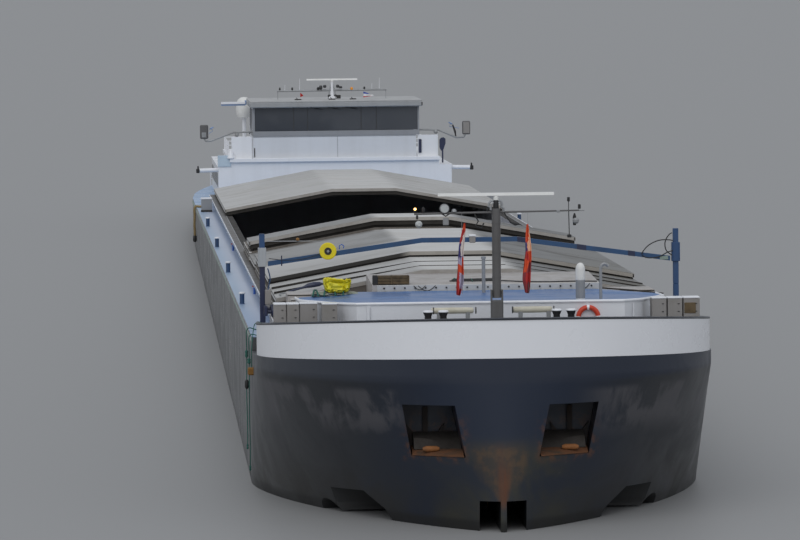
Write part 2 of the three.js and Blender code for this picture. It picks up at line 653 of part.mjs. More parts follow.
const WING_TOP_Z = 657;
const COLUMN_HALF = 60;
const columnY = station((BRIDGE_FORE + BRIDGE_AFT) / 2);
addMesh('deckhouse_roof', join(
  cut(
    box(-420, 420, station(HOUSE_FORE - 10), station(HOUSE_AFT + 10), houseTop + GAP, HOUSE_ROOF_Z),
    box(-COLUMN_HALF - 6, COLUMN_HALF + 6, columnY - COLUMN_HALF - 6, columnY + COLUMN_HALF + 6, 500, 600),
  ),
  box(-412, -332, station(9212), station(9220), HOUSE_ROOF_Z - 1, WING_TOP_Z),
  box(332, 412, station(9212), station(9220), HOUSE_ROOF_Z - 1, WING_TOP_Z),
), WHITE);

// The wheelhouse rises on a column. Its walls, floor and window openings are one welded shell.
const BRIDGE_FLOOR_Z = HOUSE_ROOF_Z + GAP;
const SIDE_DOOR = { fore: 9600, aft: 9680, low: 588, high: 764 };

function wheelhouseBody() {
  const shell = cut(
    box(-BRIDGE_HALF, BRIDGE_HALF, station(BRIDGE_FORE), station(BRIDGE_AFT), BRIDGE_FLOOR_Z, BRIDGE_TOP_Z),
    box(-BRIDGE_HALF + WALL, BRIDGE_HALF - WALL, station(BRIDGE_FORE + WALL), station(BRIDGE_AFT - WALL),
      BRIDGE_FLOOR_Z + 12, BRIDGE_TOP_Z + 20),
  );
  const openings = [];
  for (const [x0, x1] of [[-315, -110], [-102, 102], [110, 315]]) {
    openings.push(box(x0, x1, station(BRIDGE_FORE - 20), station(BRIDGE_FORE + 20), WINDOW_LOW_Z, WINDOW_HIGH_Z));
    openings.push(box(x0, x1, station(BRIDGE_AFT - 20), station(BRIDGE_AFT + 20), WINDOW_LOW_Z, WINDOW_HIGH_Z));
  }
  for (const side of [-1, 1]) {
    const x0 = side * BRIDGE_HALF - 20;
    const x1 = side * BRIDGE_HALF + 20;
    for (const [s0, s1] of [[9222, 9400], [9408, 9584]]) {
      openings.push(box(x0, x1, station(s0), station(s1), WINDOW_LOW_Z, WINDOW_HIGH_Z));
    }
    openings.push(box(x0, x1, station(SIDE_DOOR.fore - 5), station(SIDE_DOOR.aft + 6), SIDE_DOOR.low - 5,
      SIDE_DOOR.high + 5));
  }
  return cut(shell, ...openings);
}
addMesh('wheelhouse_body', wheelhouseBody(), WHITE);
addMesh('wheelhouse_roof', box(-350, 350, station(BRIDGE_FORE - 25), station(BRIDGE_AFT + 20),
  BRIDGE_TOP_Z + GAP, ROOF_Z), WHITE);

// Window glass: one band behind the fore and side windows, and one behind the aft windows.
const GLASS_THICKNESS = 2.5;
const glassOuter = BRIDGE_HALF - WALL - GAP;
const glassInner = glassOuter - GLASS_THICKNESS;
const glassPlan = [
  [glassOuter, 9588], [glassOuter, BRIDGE_FORE + WALL + GAP], [-glassOuter, BRIDGE_FORE + WALL + GAP],
  [-glassOuter, 9588], [-glassInner, 9588], [-glassInner, BRIDGE_FORE + WALL + GAP + GLASS_THICKNESS],
  [glassInner, BRIDGE_FORE + WALL + GAP + GLASS_THICKNESS], [glassInner, 9588],
];
addMesh('wheelhouse_glass_fore', alongZ(glassPlan, WINDOW_LOW_Z - 5, WINDOW_HIGH_Z + 5), GLASS);
addMesh('wheelhouse_glass_aft', box(-315, 315, station(BRIDGE_AFT - WALL - GAP - GLASS_THICKNESS),
  station(BRIDGE_AFT - WALL - GAP), WINDOW_LOW_Z - 5, WINDOW_HIGH_Z + 5), GLASS);

for (const [name, side] of [['wheelhouse_door_starboard', -1], ['wheelhouse_door_port', 1]]) {
  const ends = [side * (BRIDGE_HALF - 7), side * BRIDGE_HALF].sort((a, b) => a - b);
  addMesh(name, join(
    box(ends[0], ends[1], station(SIDE_DOOR.fore), station(SIDE_DOOR.aft), SIDE_DOOR.low, SIDE_DOOR.high),
    ...[620, 720].flatMap((z) => barrel(side * (BRIDGE_HALF - 2), station(SIDE_DOOR.fore) - 2.5, z, side * 1.8, 4)),
  ), WHITE);
}
const insideFloor = BRIDGE_FLOOR_Z + 12 + GAP;
addMesh('helm', join(
  box(-130, 130, station(9300), station(9345), insideFloor, 652),
  box(-40, 40, station(9300), station(9450), insideFloor, insideFloor + 3),
  cylinder('z', 5, 30, [0, station(9420), insideFloor + 15], 10),
  box(-24, 24, station(9398), station(9446), insideFloor + 28, insideFloor + 42),
  box(-22, 22, station(9440), station(9452), insideFloor + 30, insideFloor + 100),
), BLACK);
addMesh('lift_column', box(-COLUMN_HALF, COLUMN_HALF, columnY - COLUMN_HALF, columnY + COLUMN_HALF,
  GANGWAY_Z + 5, BRIDGE_FLOOR_Z - GAP), GREY);

// On the wheelhouse roof: mast with a crossbar, and the second scanner.
const roofMastY = station(9420);
addMesh('roof_mast', join(
  box(-14, 14, roofMastY - 14, roofMastY + 14, ROOF_Z + GAP, ROOF_Z + 14),
  cylinder('z', 6, 60, [0, roofMastY, ROOF_Z + 40], 10),
  box(-222, 220, roofMastY - 3, roofMastY + 3, ROOF_Z + 32, ROOF_Z + 38),
  box(-222, -216, roofMastY - 3, roofMastY + 3, ROOF_Z + GAP, ROOF_Z + 38),
  box(214, 220, roofMastY - 3, roofMastY + 3, ROOF_Z + GAP, ROOF_Z + 38),
), WHITE);
addMesh('roof_radar', join(
  cylinder('z', 7, 6, [0, roofMastY, ROOF_Z + 70 + GAP + 3], 12),
  box(-102, 102, roofMastY - 5, roofMastY + 5, ROOF_Z + 75, ROOF_Z + 82),
), WHITE);

// Aft of the wheelhouse: satellite dome and mooring winch.
addMesh('satellite_dome', join(
  cylinder('z', 8, 170, [-345, station(9790), HOUSE_ROOF_Z + GAP + 85], 10),
  new THREE.SphereGeometry(33, 16, 10).scale(1, 1, 1.3).translate(-345, station(9790), 759),
), WHITE);
addMesh('stern_winch', join(
  box(-60, 60, station(10800), station(10860), GANGWAY_Z, GANGWAY_Z + 20),
  box(-60, -50, station(10805), station(10855), GANGWAY_Z + 15, GANGWAY_Z + 70),
  box(50, 60, station(10805), station(10855), GANGWAY_Z + 15, GANGWAY_Z + 70),
  cylinder('x', 20, 110, [0, station(10830), GANGWAY_Z + 48], 14),
), MID_BLUE);

export default vessel;
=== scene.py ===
"""Looks of the general cargo vessel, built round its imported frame.

Lengths are metres of the 1:10 model. The bow points to -Y and port to +X.
"""
import math

import bmesh
import bpy
from mathutils import Matrix, Vector, noise


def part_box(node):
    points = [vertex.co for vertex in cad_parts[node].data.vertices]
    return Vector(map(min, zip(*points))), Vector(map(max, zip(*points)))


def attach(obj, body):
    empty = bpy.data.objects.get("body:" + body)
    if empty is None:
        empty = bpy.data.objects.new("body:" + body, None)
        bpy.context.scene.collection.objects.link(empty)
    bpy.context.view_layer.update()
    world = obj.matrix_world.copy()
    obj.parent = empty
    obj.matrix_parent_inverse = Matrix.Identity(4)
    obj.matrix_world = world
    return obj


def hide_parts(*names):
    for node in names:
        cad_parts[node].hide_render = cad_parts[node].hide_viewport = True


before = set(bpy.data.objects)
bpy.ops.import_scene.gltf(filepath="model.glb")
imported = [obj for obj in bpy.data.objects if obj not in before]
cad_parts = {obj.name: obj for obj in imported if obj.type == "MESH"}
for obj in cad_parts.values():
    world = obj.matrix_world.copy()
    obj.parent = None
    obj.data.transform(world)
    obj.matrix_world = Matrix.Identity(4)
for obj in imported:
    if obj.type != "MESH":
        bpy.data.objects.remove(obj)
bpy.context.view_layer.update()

# Camera, fitted to the photograph: place, heading, tilt and roll.
CAMERA_PLACE = (-0.9666, -18.9633, 1.37715)
CAMERA_YAW = 0.05381
CAMERA_PITCH = 0.05541
CAMERA_ROLL = -0.01096
CAMERA_LENS = 256.2

# Driving sizes of the hull. Stations are metres aft of the stem.
LENGTH = 11.0
HALF_BEAM = 0.57
KEEL_Z = -0.13
BILGE = 0.04
GANGWAY_Z = 0.413
COAMING_Z = 0.452
COAMING_X = 0.515
HOLD_HALF_WIDTH = 0.47
HOLD_FORE = 1.27
HOLD_AFT = 8.65
FLOOR_Z = KEEL_Z + 0.045
BAND_LOW_Z = 0.378
KNUCKLE_Z = 0.35
SHEER = 0.037
FORECASTLE_END = 0.91
BULWARK_HEIGHT = 0.035
BULWARK_THICKNESS = 0.01
STEM_HALF = 0.0012
# The photograph shows the vessel down by the stern. The floor rises by this much a metre along the hull.
FLOOR_SLOPE = 0.028
SHOULDER_TAPER = 0.013
TRUNK_FORE = 0.378
TRUNK_FORE_Z = 0.526
TRUNK_AFT_Z = 0.511
TRUNK_RIDGE_HALF = 0.3
TRUNK_RIDGE_AFT_Z = 0.524
COVER_EDGE = 0.4965
COVER_KNEE = 0.114
COVER_DROP = 0.069
COVER_DEPTH = 0.023
LAYER_PITCH = 0.011
APRON_FORE = 1.23
APRON_LIFT = 0.017
GANTRY_STATION = 1.158
POST_X = 0.534
POST_TOP_Z = 0.6615
MAST_STATION = 0.166
MAST_PIVOT_Z = 0.562
YARD_Z = 0.755
HOUSE_FORE = 9.2
HOUSE_AFT = 10.4
HOUSE_ROOF_Z = 0.57
BRIDGE_FORE = 9.21
BRIDGE_HALF = 0.325
WINDOW_LOW_Z = 0.678
WINDOW_HIGH_Z = 0.772
ROOF_Z = 0.799
SCANNER_STATION = 9.42
SIDES = ((-1, "starboard"), (1, "port"))

# Colours that several finishes share: the sides' grey, a painted sky reflection, and the bow's painted
# shade.
SIDE_REFLECTION_GREY = (0.075, 0.077, 0.08)
BOW_SHADE = (0.02, 0.023, 0.029)


def at(station):
    return station - LENGTH / 2


def water_z(station):
    return FLOOR_SLOPE * station


def dim(colour, share):
    return tuple(share * c for c in colour)


def make_camera():
    data = bpy.data.cameras.new("camera")
    data.lens = CAMERA_LENS
    data.sensor_width = 36
    data.clip_end = 500
    camera = bpy.data.objects.new("camera", data)
    bpy.context.scene.collection.objects.link(camera)
    heading = Matrix.Rotation(-CAMERA_YAW, 4, "Z")
    tilt = Matrix.Rotation(math.pi / 2 - CAMERA_PITCH, 4, "X")
    roll = Matrix.Rotation(CAMERA_ROLL, 4, "Z")
    camera.matrix_world = Matrix.Translation(CAMERA_PLACE) @ heading @ tilt @ roll
    bpy.context.scene.camera = camera


def make_light():
    world = bpy.data.worlds.new("sky")
    world.use_nodes = True
    background = world.node_tree.nodes["Background"]
    background.inputs["Color"].default_value = (0.76, 0.8, 0.86, 1)
    background.inputs["Strength"].default_value = 0.62
    bpy.context.scene.world = world
    bpy.context.scene.view_settings.view_transform = "Standard"
    for name, energy, angle, turn in (("sun", 0.9, 1.0, (0.75, 0.0, -0.35)),
                                      ("fill", 0.25, 1.4, (1.2, 0.0, 0.5))):
        light = bpy.data.lights.new(name, "SUN")
        light.energy = energy
        light.angle = angle
        lamp = bpy.data.objects.new(name, light)
        lamp.rotation_euler = turn
        bpy.context.scene.collection.objects.link(lamp)


# Materials are node trees on object coordinates, which are the frame's own metres.
class Tree:
    """A material's node tree, with short calls for the nodes that the finishes share."""

    def __init__(self, name):
        self.material = bpy.data.materials.new(name)
        self.material.use_nodes = True
        self.tree = self.material.node_tree
        self.shader = self.tree.nodes["Principled BSDF"]
        self.place = self.node("ShaderNodeTexCoord", {}).outputs["Object"]

    def node(self, kind, inputs, **settings):
        made = self.tree.nodes.new(kind)
        for key, value in settings.items():
            setattr(made, key, value)
        for key, value in inputs.items():
            if isinstance(value, bpy.types.NodeSocket):
                self.tree.links.new(value, made.inputs[key])
            else:
                made.inputs[key].default_value = value
        return made

    def stretched(self, scale):
        return self.node("ShaderNodeMapping", {"Vector": self.place, "Scale": scale}).outputs["Vector"]

    def noise(self, scale, detail=5.0, stretch=None, distortion=0.0):
        vector = self.stretched(stretch) if stretch else self.place
        inputs = {"Vector": vector, "Scale": scale, "Detail": detail, "Roughness": 0.6,
                  "Distortion": distortion}
        return self.node("ShaderNodeTexNoise", inputs).outputs["Fac"]

    def step(self, value, low, high, to_low=0.0, to_high=1.0):
        inputs = {"Value": value, "From Min": low, "From Max": high, "To Min": to_low, "To Max": to_high}
        return self.node("ShaderNodeMapRange", inputs, interpolation_type="SMOOTHSTEP").outputs["Result"]

    def math(self, operation, first, second=0.0):
        return self.node("ShaderNodeMath", {0: first, 1: second}, operation=operation).outputs["Value"]

    def times(self, first, second):
        return self.math("MULTIPLY", first, second)

    def plus(self, first, second):
        return self.math("ADD", first, second)

    def most(self, first, second):
        return self.math("MAXIMUM", first, second)

    def blotches(self, scale, low, high, detail=6.0):
        return self.step(self.noise(scale, detail), low, high)

    def mix(self, share, first, second):
        """Blends two colours. The mix node's inputs are share, first and second colour."""
        made = self.tree.nodes.new("ShaderNodeMix")
        made.data_type = "RGBA"
        for index, value in ((0, share), (6, first), (7, second)):
            if isinstance(value, bpy.types.NodeSocket):
                self.tree.links.new(value, made.inputs[index])
            else:
                made.inputs[index].default_value = value if index == 0 else (*value, 1)
        return made.outputs[2]

    def axes(self):
        split = self.node("ShaderNodeSeparateXYZ", {"Vector": self.place})
        return split.outputs["X"], split.outputs["Y"], split.outputs["Z"]

    def above_water(self):
        y, z = self.axes()[1:]
        rise = self.times(self.plus(y, LENGTH / 2), FLOOR_SLOPE)
        return self.math("SUBTRACT", z, rise)

    def side_share(self):
        """Share of the sides' grey in the bow's colour: a painted sky reflection, less to port near the bow
        as painted shade.
        """
        x, y, z = self.axes()
        lit = self.step(x, 0.3, -0.3, 0.25, 0.75)
        lit = self.most(lit, self.step(y, at(HOLD_FORE), at(3.2)))
        return self.times(lit, self.step(z, 0.0, 0.06))

    def finish(self, colour, roughness, metallic=0.0, bump=0.0, bump_scale=60.0):
        """Colour and roughness are values or sockets. A bump is the height of fine noise, in metres."""
        for key, value in (("Base Color", colour), ("Roughness", roughness), ("Metallic", metallic)):
            if isinstance(value, bpy.types.NodeSocket):
                self.tree.links.new(value, self.shader.inputs[key])
            else:
                self.shader.inputs[key].default_value = (*value, 1) if key == "Base Color" else value
        if bump:
            height = self.noise(bump_scale, 4.0)
            made = self.node("ShaderNodeBump", {"Height": height, "Distance": bump, "Strength": 0.6})
            self.tree.links.new(made.outputs["Normal"], self.shader.inputs["Normal"])
        return self.material


def worn(name, colour, grime, share, roughness, metallic=0.0, scale=14.0, streaks=(30, 30, 3), bump=0.0004):
    """Paint or metal with blotches and runs of grime. Share is how much of it shows."""
    tree = Tree(name)
    blotches = tree.blotches(scale, 0.35, 0.75)
    runs = tree.step(tree.noise(1.0, 4.0, stretch=streaks), 0.42, 0.72)
    grimy = tree.times(tree.plus(tree.times(blotches, 0.6), tree.times(runs, 0.6)), share)
    tone = tree.mix(grimy, colour, grime)
    gloss = tree.step(blotches, 0, 1, roughness, min(1.0, roughness + 0.18))
    return tree.finish(tone, gloss, metallic, bump)


def hull_paint():
    """Dark blue bow with grey dirt, rust at the stem and under the pockets, brown near the water, and
    painted light and shade.
    """
    tree = Tree("hull paint")
    x, y, z = tree.axes()
    across = tree.math("ABSOLUTE", x)
    cloud = tree.noise(5.5, 7.0, distortion=0.6)
    runs = tree.noise(1.0, 5.0, stretch=(26, 26, 2.6), distortion=0.3)
    fine = tree.noise(40.0, 5.0)
    # Painted shade: the bow's flanks darken away from the stem.
    navy = tree.mix(tree.step(across, 0.12, 0.42), (0.009, 0.0165, 0.036), BOW_SHADE)
    # Painted highlight: the upright strip above the knuckle is lighter, most to starboard.
    knuckle_highlight = tree.mix(tree.step(x, -0.1, -0.45), (0.0135, 0.02, 0.038), (0.03, 0.036, 0.05))
    navy = tree.mix(tree.step(z, KNUCKLE_Z - 0.002, KNUCKLE_Z + 0.012), navy, knuckle_highlight)
    side = tree.times(tree.step(y, at(0.3), at(0.95)), tree.side_share())
    # Painted reflection: aft on the bow the colour turns to the sides' grey.
    navy = tree.mix(side, navy, SIDE_REFLECTION_GREY)
    patch = tree.step(tree.plus(cloud, tree.times(runs, 0.35)), 0.62, 0.76)
    patch = tree.times(patch, tree.step(across, 0.17, 0.3))
    patch = tree.times(patch, tree.times(tree.step(z, 0.2, 0.27), tree.step(z, 0.345, 0.325)))
    tone = tree.mix(tree.times(patch, 0.8), navy, (0.085, 0.083, 0.092))
    low = tree.times(tree.step(z, 0.2, 0.05), tree.step(cloud, 0.3, 0.65))
    tone = tree.mix(tree.times(low, 0.55), tone, (0.032, 0.029, 0.021))
    width = tree.step(z, 0.05, 0.2, 0.008, 0.075)
    ragged = tree.plus(tree.math("DIVIDE", across, width), tree.step(runs, 0.3, 0.7, -0.35, 0.45))
    vee = tree.times(tree.step(ragged, 1.35, 0.45), tree.step(z, 0.225, 0.19))
    vee = tree.times(vee, tree.step(z, 0.045, 0.075))
    vee = tree.times(vee, tree.step(y, at(0.4), at(0.2)))
    dull = tree.mix(tree.step(fine, 0.4, 0.65), (0.042, 0.034, 0.028), (0.085, 0.052, 0.028))
    olive = tree.times(tree.step(across, 0.24, 0.1), tree.step(z, 0.24, 0.17))
    spread = tree.times(tree.step(cloud, 0.35, 0.6, 0.2, 0.75), tree.step(y, at(0.35), at(0.2)))
    olive = tree.times(olive, spread)
    tone = tree.mix(olive, tone, (0.04, 0.038, 0.024))
    tone = tree.mix(tree.times(vee, tree.step(runs, 0.2, 0.5, 0.45, 0.9)), tone, dull)
    seam = tree.times(tree.times(vee, tree.step(across, 0.026, 0.003)), tree.step(runs, 0.35, 0.6))
    seam = tree.times(seam, tree.step(z, 0.19, 0.13, 0.25, 0.85))
    tone = tree.mix(seam, tone, (0.11, 0.036, 0.012))
    specks = tree.times(tree.step(tree.noise(55.0, 3.0), 0.66, 0.74), tree.step(cloud, 0.45, 0.6))
    specks = tree.times(specks, tree.times(tree.step(x, 0.05, 0.08), tree.step(x, 0.2, 0.15)))
    tone = tree.mix(tree.times(specks, tree.step(z, 0.2, 0.15)), tone, (0.16, 0.15, 0.13))
    under = tree.times(tree.step(z, 0.155, 0.18), tree.step(z, 0.31, 0.2))
    under = tree.times(under, tree.times(tree.step(across, 0.07, 0.1), tree.step(across, 0.25, 0.215)))
    under = tree.times(under, tree.times(tree.step(fine, 0.45, 0.62), tree.step(y, at(0.3), at(0.2))))
    tone = tree.mix(tree.times(under, 0.6), tone, (0.13, 0.05, 0.018))
    deep = tree.step(tree.above_water(), 0.032, 0.018)
    tone = tree.mix(tree.times(deep, 0.8), tone, (0.011, 0.011, 0.011))
    gloss = tree.step(cloud, 0.3, 0.7, 0.32, 0.52)
    return tree.finish(tone, gloss, 0.0, 0.0007, 9.0)


def deck_top_paint(name, top, sides):
    """Paint in one colour on faces that look up, another on the rest, which turns to painted shade to port
    at the bow.
    """
    tree = Tree(name)
    normal = tree.node("ShaderNodeNewGeometry", {}).outputs["True Normal"]
    up = tree.node("ShaderNodeSeparateXYZ", {"Vector": normal}).outputs["Z"]
    z = tree.axes()[2]
    deck = tree.times(tree.step(up, 0.7, 0.9), tree.step(z, 0.3, 0.34))
    blotches = tree.blotches(7.0, 0.35, 0.7)
    runs = tree.step(tree.noise(1.0, 3.0, stretch=(5, 0.35, 2.0)), 0.35, 0.7)
    # Painted shade: the bow's shade where the sides' share is low, to port near the bow and below the water.
    shell = tree.mix(tree.side_share(), BOW_SHADE, sides)
    shell = tree.mix(tree.times(runs, 0.18), shell, dim(sides, 0.55))
    shell = tree.mix(tree.step(tree.above_water(), 0.022, 0.008), shell, dim(sides, 0.3))
    plates = tree.mix(tree.times(blotches, 0.3), top, dim(top, 0.6))
    tone = tree.mix(deck, shell, plates)
    gloss = tree.step(blotches, 0, 1, 0.27, 0.38)
    return tree.finish(tone, gloss, 0.0, 0.0002, 6.0)


def walk_paint():
    """Side deck paint with painted light: paler toward the coaming, and greyer to port as painted shade."""
    tree = Tree("side deck paint")
    x, y = tree.axes()[:2]
    across = tree.math("ABSOLUTE", x)
    blotches = tree.step(tree.noise(1.0, 5.0, stretch=(9, 1.4, 9)), 0.35, 0.7)
    # Painted light: paler across the deck toward the coaming.
    tone = tree.mix(tree.step(across, HALF_BEAM - 0.006, COAMING_X + 0.006), (0.3, 0.42, 0.58),
                    (0.5, 0.56, 0.68))
    tone = tree.mix(tree.times(blotches, 0.25), tone, (0.3, 0.34, 0.42))
    # Darker blue toward the bow.
    tone = tree.mix(tree.times(tree.step(y, at(2.6), at(1.4)), 0.5), tone, (0.16, 0.26, 0.46))
    # Painted shade: greyer on the port side deck.
    tone = tree.mix(tree.step(x, 0.1, 0.4, 0.0, 0.5), tone, (0.2, 0.21, 0.23))
    return tree.finish(tone, 0.35, 0.0, 0.0002, 12.0)


def face_paint(name, colour, shaded):
    """The front face of a cover in painted shade, darker still on the starboard slope that lies in the next
    cover's shade.
    """
    tree = Tree(name)
    x = tree.axes()[0]
    spots = tree.blotches(30.0, 0.4, 0.75, 5.0)
    slope = tree.step(x, -COVER_KNEE + 0.01, -COVER_KNEE - 0.03)
    tone = tree.mix(tree.times(spots, 0.35), colour, dim(colour, 0.6))
    return tree.finish(tree.mix(slope, tone, shaded), 0.55, 0.2)


def planked(name, colour, grime, pitch=0.16):
    """Aluminium planks across the ship. The slopes beside the flat top reflect less sky and look darker."""
    tree = Tree(name)
    x, y = tree.axes()[:2]
    phase = tree.math("FRACT", tree.math("DIVIDE", y, pitch))
    joint = tree.most(tree.step(phase, 0.035, 0.0), tree.step(phase, 0.985, 1.0))
    blotches = tree.blotches(5.0, 0.4, 0.75)
    spots = tree.blotches(28.0, 0.5, 0.75)
    streaks = tree.step(tree.noise(1.0, 4.0, stretch=(2, 36, 2)), 0.4, 0.75)
    port = tree.step(x, COVER_KNEE - 0.02, COVER_KNEE + 0.05)
    starboard = tree.step(x, -COVER_KNEE + 0.02, -COVER_KNEE - 0.02)
    middle = tree.times(tree.step(y, at(2.35), at(2.6)), tree.step(y, at(6.5), at(6.2)))
    fore = tree.step(y, at(6.5), at(6.2))
    share = tree.plus(tree.times(blotches, 0.2), tree.times(spots, 0.12))
    share = tree.plus(share, tree.times(streaks, tree.step(port, 0, 1, 0.12, 0.4)))
    share = tree.most(share, tree.times(joint, tree.step(port, 0, 1, 0.3, 0.8)))
    tone = tree.mix(share, colour, grime)
    front = tree.step(y, at(2.6), at(2.0))
    depth = tree.plus(tree.step(middle, 0, 1, 0.17, 0.62), tree.step(front, 0, 1, 0.0, 0.15))
    shade = tree.times(starboard, depth)
    shade = tree.most(shade, tree.times(port, tree.step(fore, 0, 1, 0.24, 0.87)))
    tone = tree.mix(shade, tone, dim(colour, 0.1))
    # A brown stain on the port slope, darker too as painted shade.
    stain_and_shade = tree.times(tree.step(x, 0.25, 0.42), tree.step(tree.noise(9.0, 6.0), 0.4, 0.62, 0.25, 0.85))
    stain_and_shade = tree.times(stain_and_shade, tree.step(y, at(3.4), at(1.7)))
    tone = tree.mix(stain_and_shade, tone, (0.115, 0.105, 0.08))
    gloss = tree.step(blotches, 0, 1, 0.42, 0.6)
    return tree.finish(tone, gloss, 0.25, 0.0003, 30.0)


def banded(name, bands, low, high, noise_scale=60.0, shift=0.006):
    """Cloth in bands from the foot up. A band is its lower end, as a share of the height, and a colour."""
    tree = Tree(name)
    z = tree.axes()[2]
    wave = tree.step(tree.noise(noise_scale, 3.0), 0.3, 0.7, -shift, shift)
    height = tree.math("SUBTRACT", tree.plus(z, wave), low)
    ramp = tree.node("ShaderNodeValToRGB", {"Fac": tree.math("DIVIDE", height, high - low)})
    ramp.color_ramp.interpolation = "CONSTANT"
    stops = ramp.color_ramp.elements
    while len(stops) < len(bands):
        stops.new(0.5)
    for stop, (share, colour) in zip(stops, bands):
        stop.position = share
        stop.color = (*colour, 1)
    weave = tree.step(tree.noise(400.0, 2.0), 0.3, 0.7, 0.75, 1.0)
    tone = tree.mix(weave, (0.05, 0.02, 0.02), ramp.outputs["Color"])
    return tree.finish(tone, 0.85, 0.0, 0.0003, 300.0)


def glowing(name, colour, strength):
    tree = Tree(name)
    speck = tree.mix(tree.step(tree.noise(300.0), 0.3, 0.7), colour, dim(colour, 0.9))
    tree.tree.links.new(speck, tree.shader.inputs["Emission Color"])
    tree.shader.inputs["Emission Strength"].default_value = strength
    return tree.finish(colour, 0.3)


# Bands of the pennant from the foot up, as shares of the height with their colours.
PENNANT = ((0.0, (0.5, 0.04, 0.04)), (0.3, (0.75, 0.75, 0.76)), (0.6, (0.05, 0.1, 0.4)))


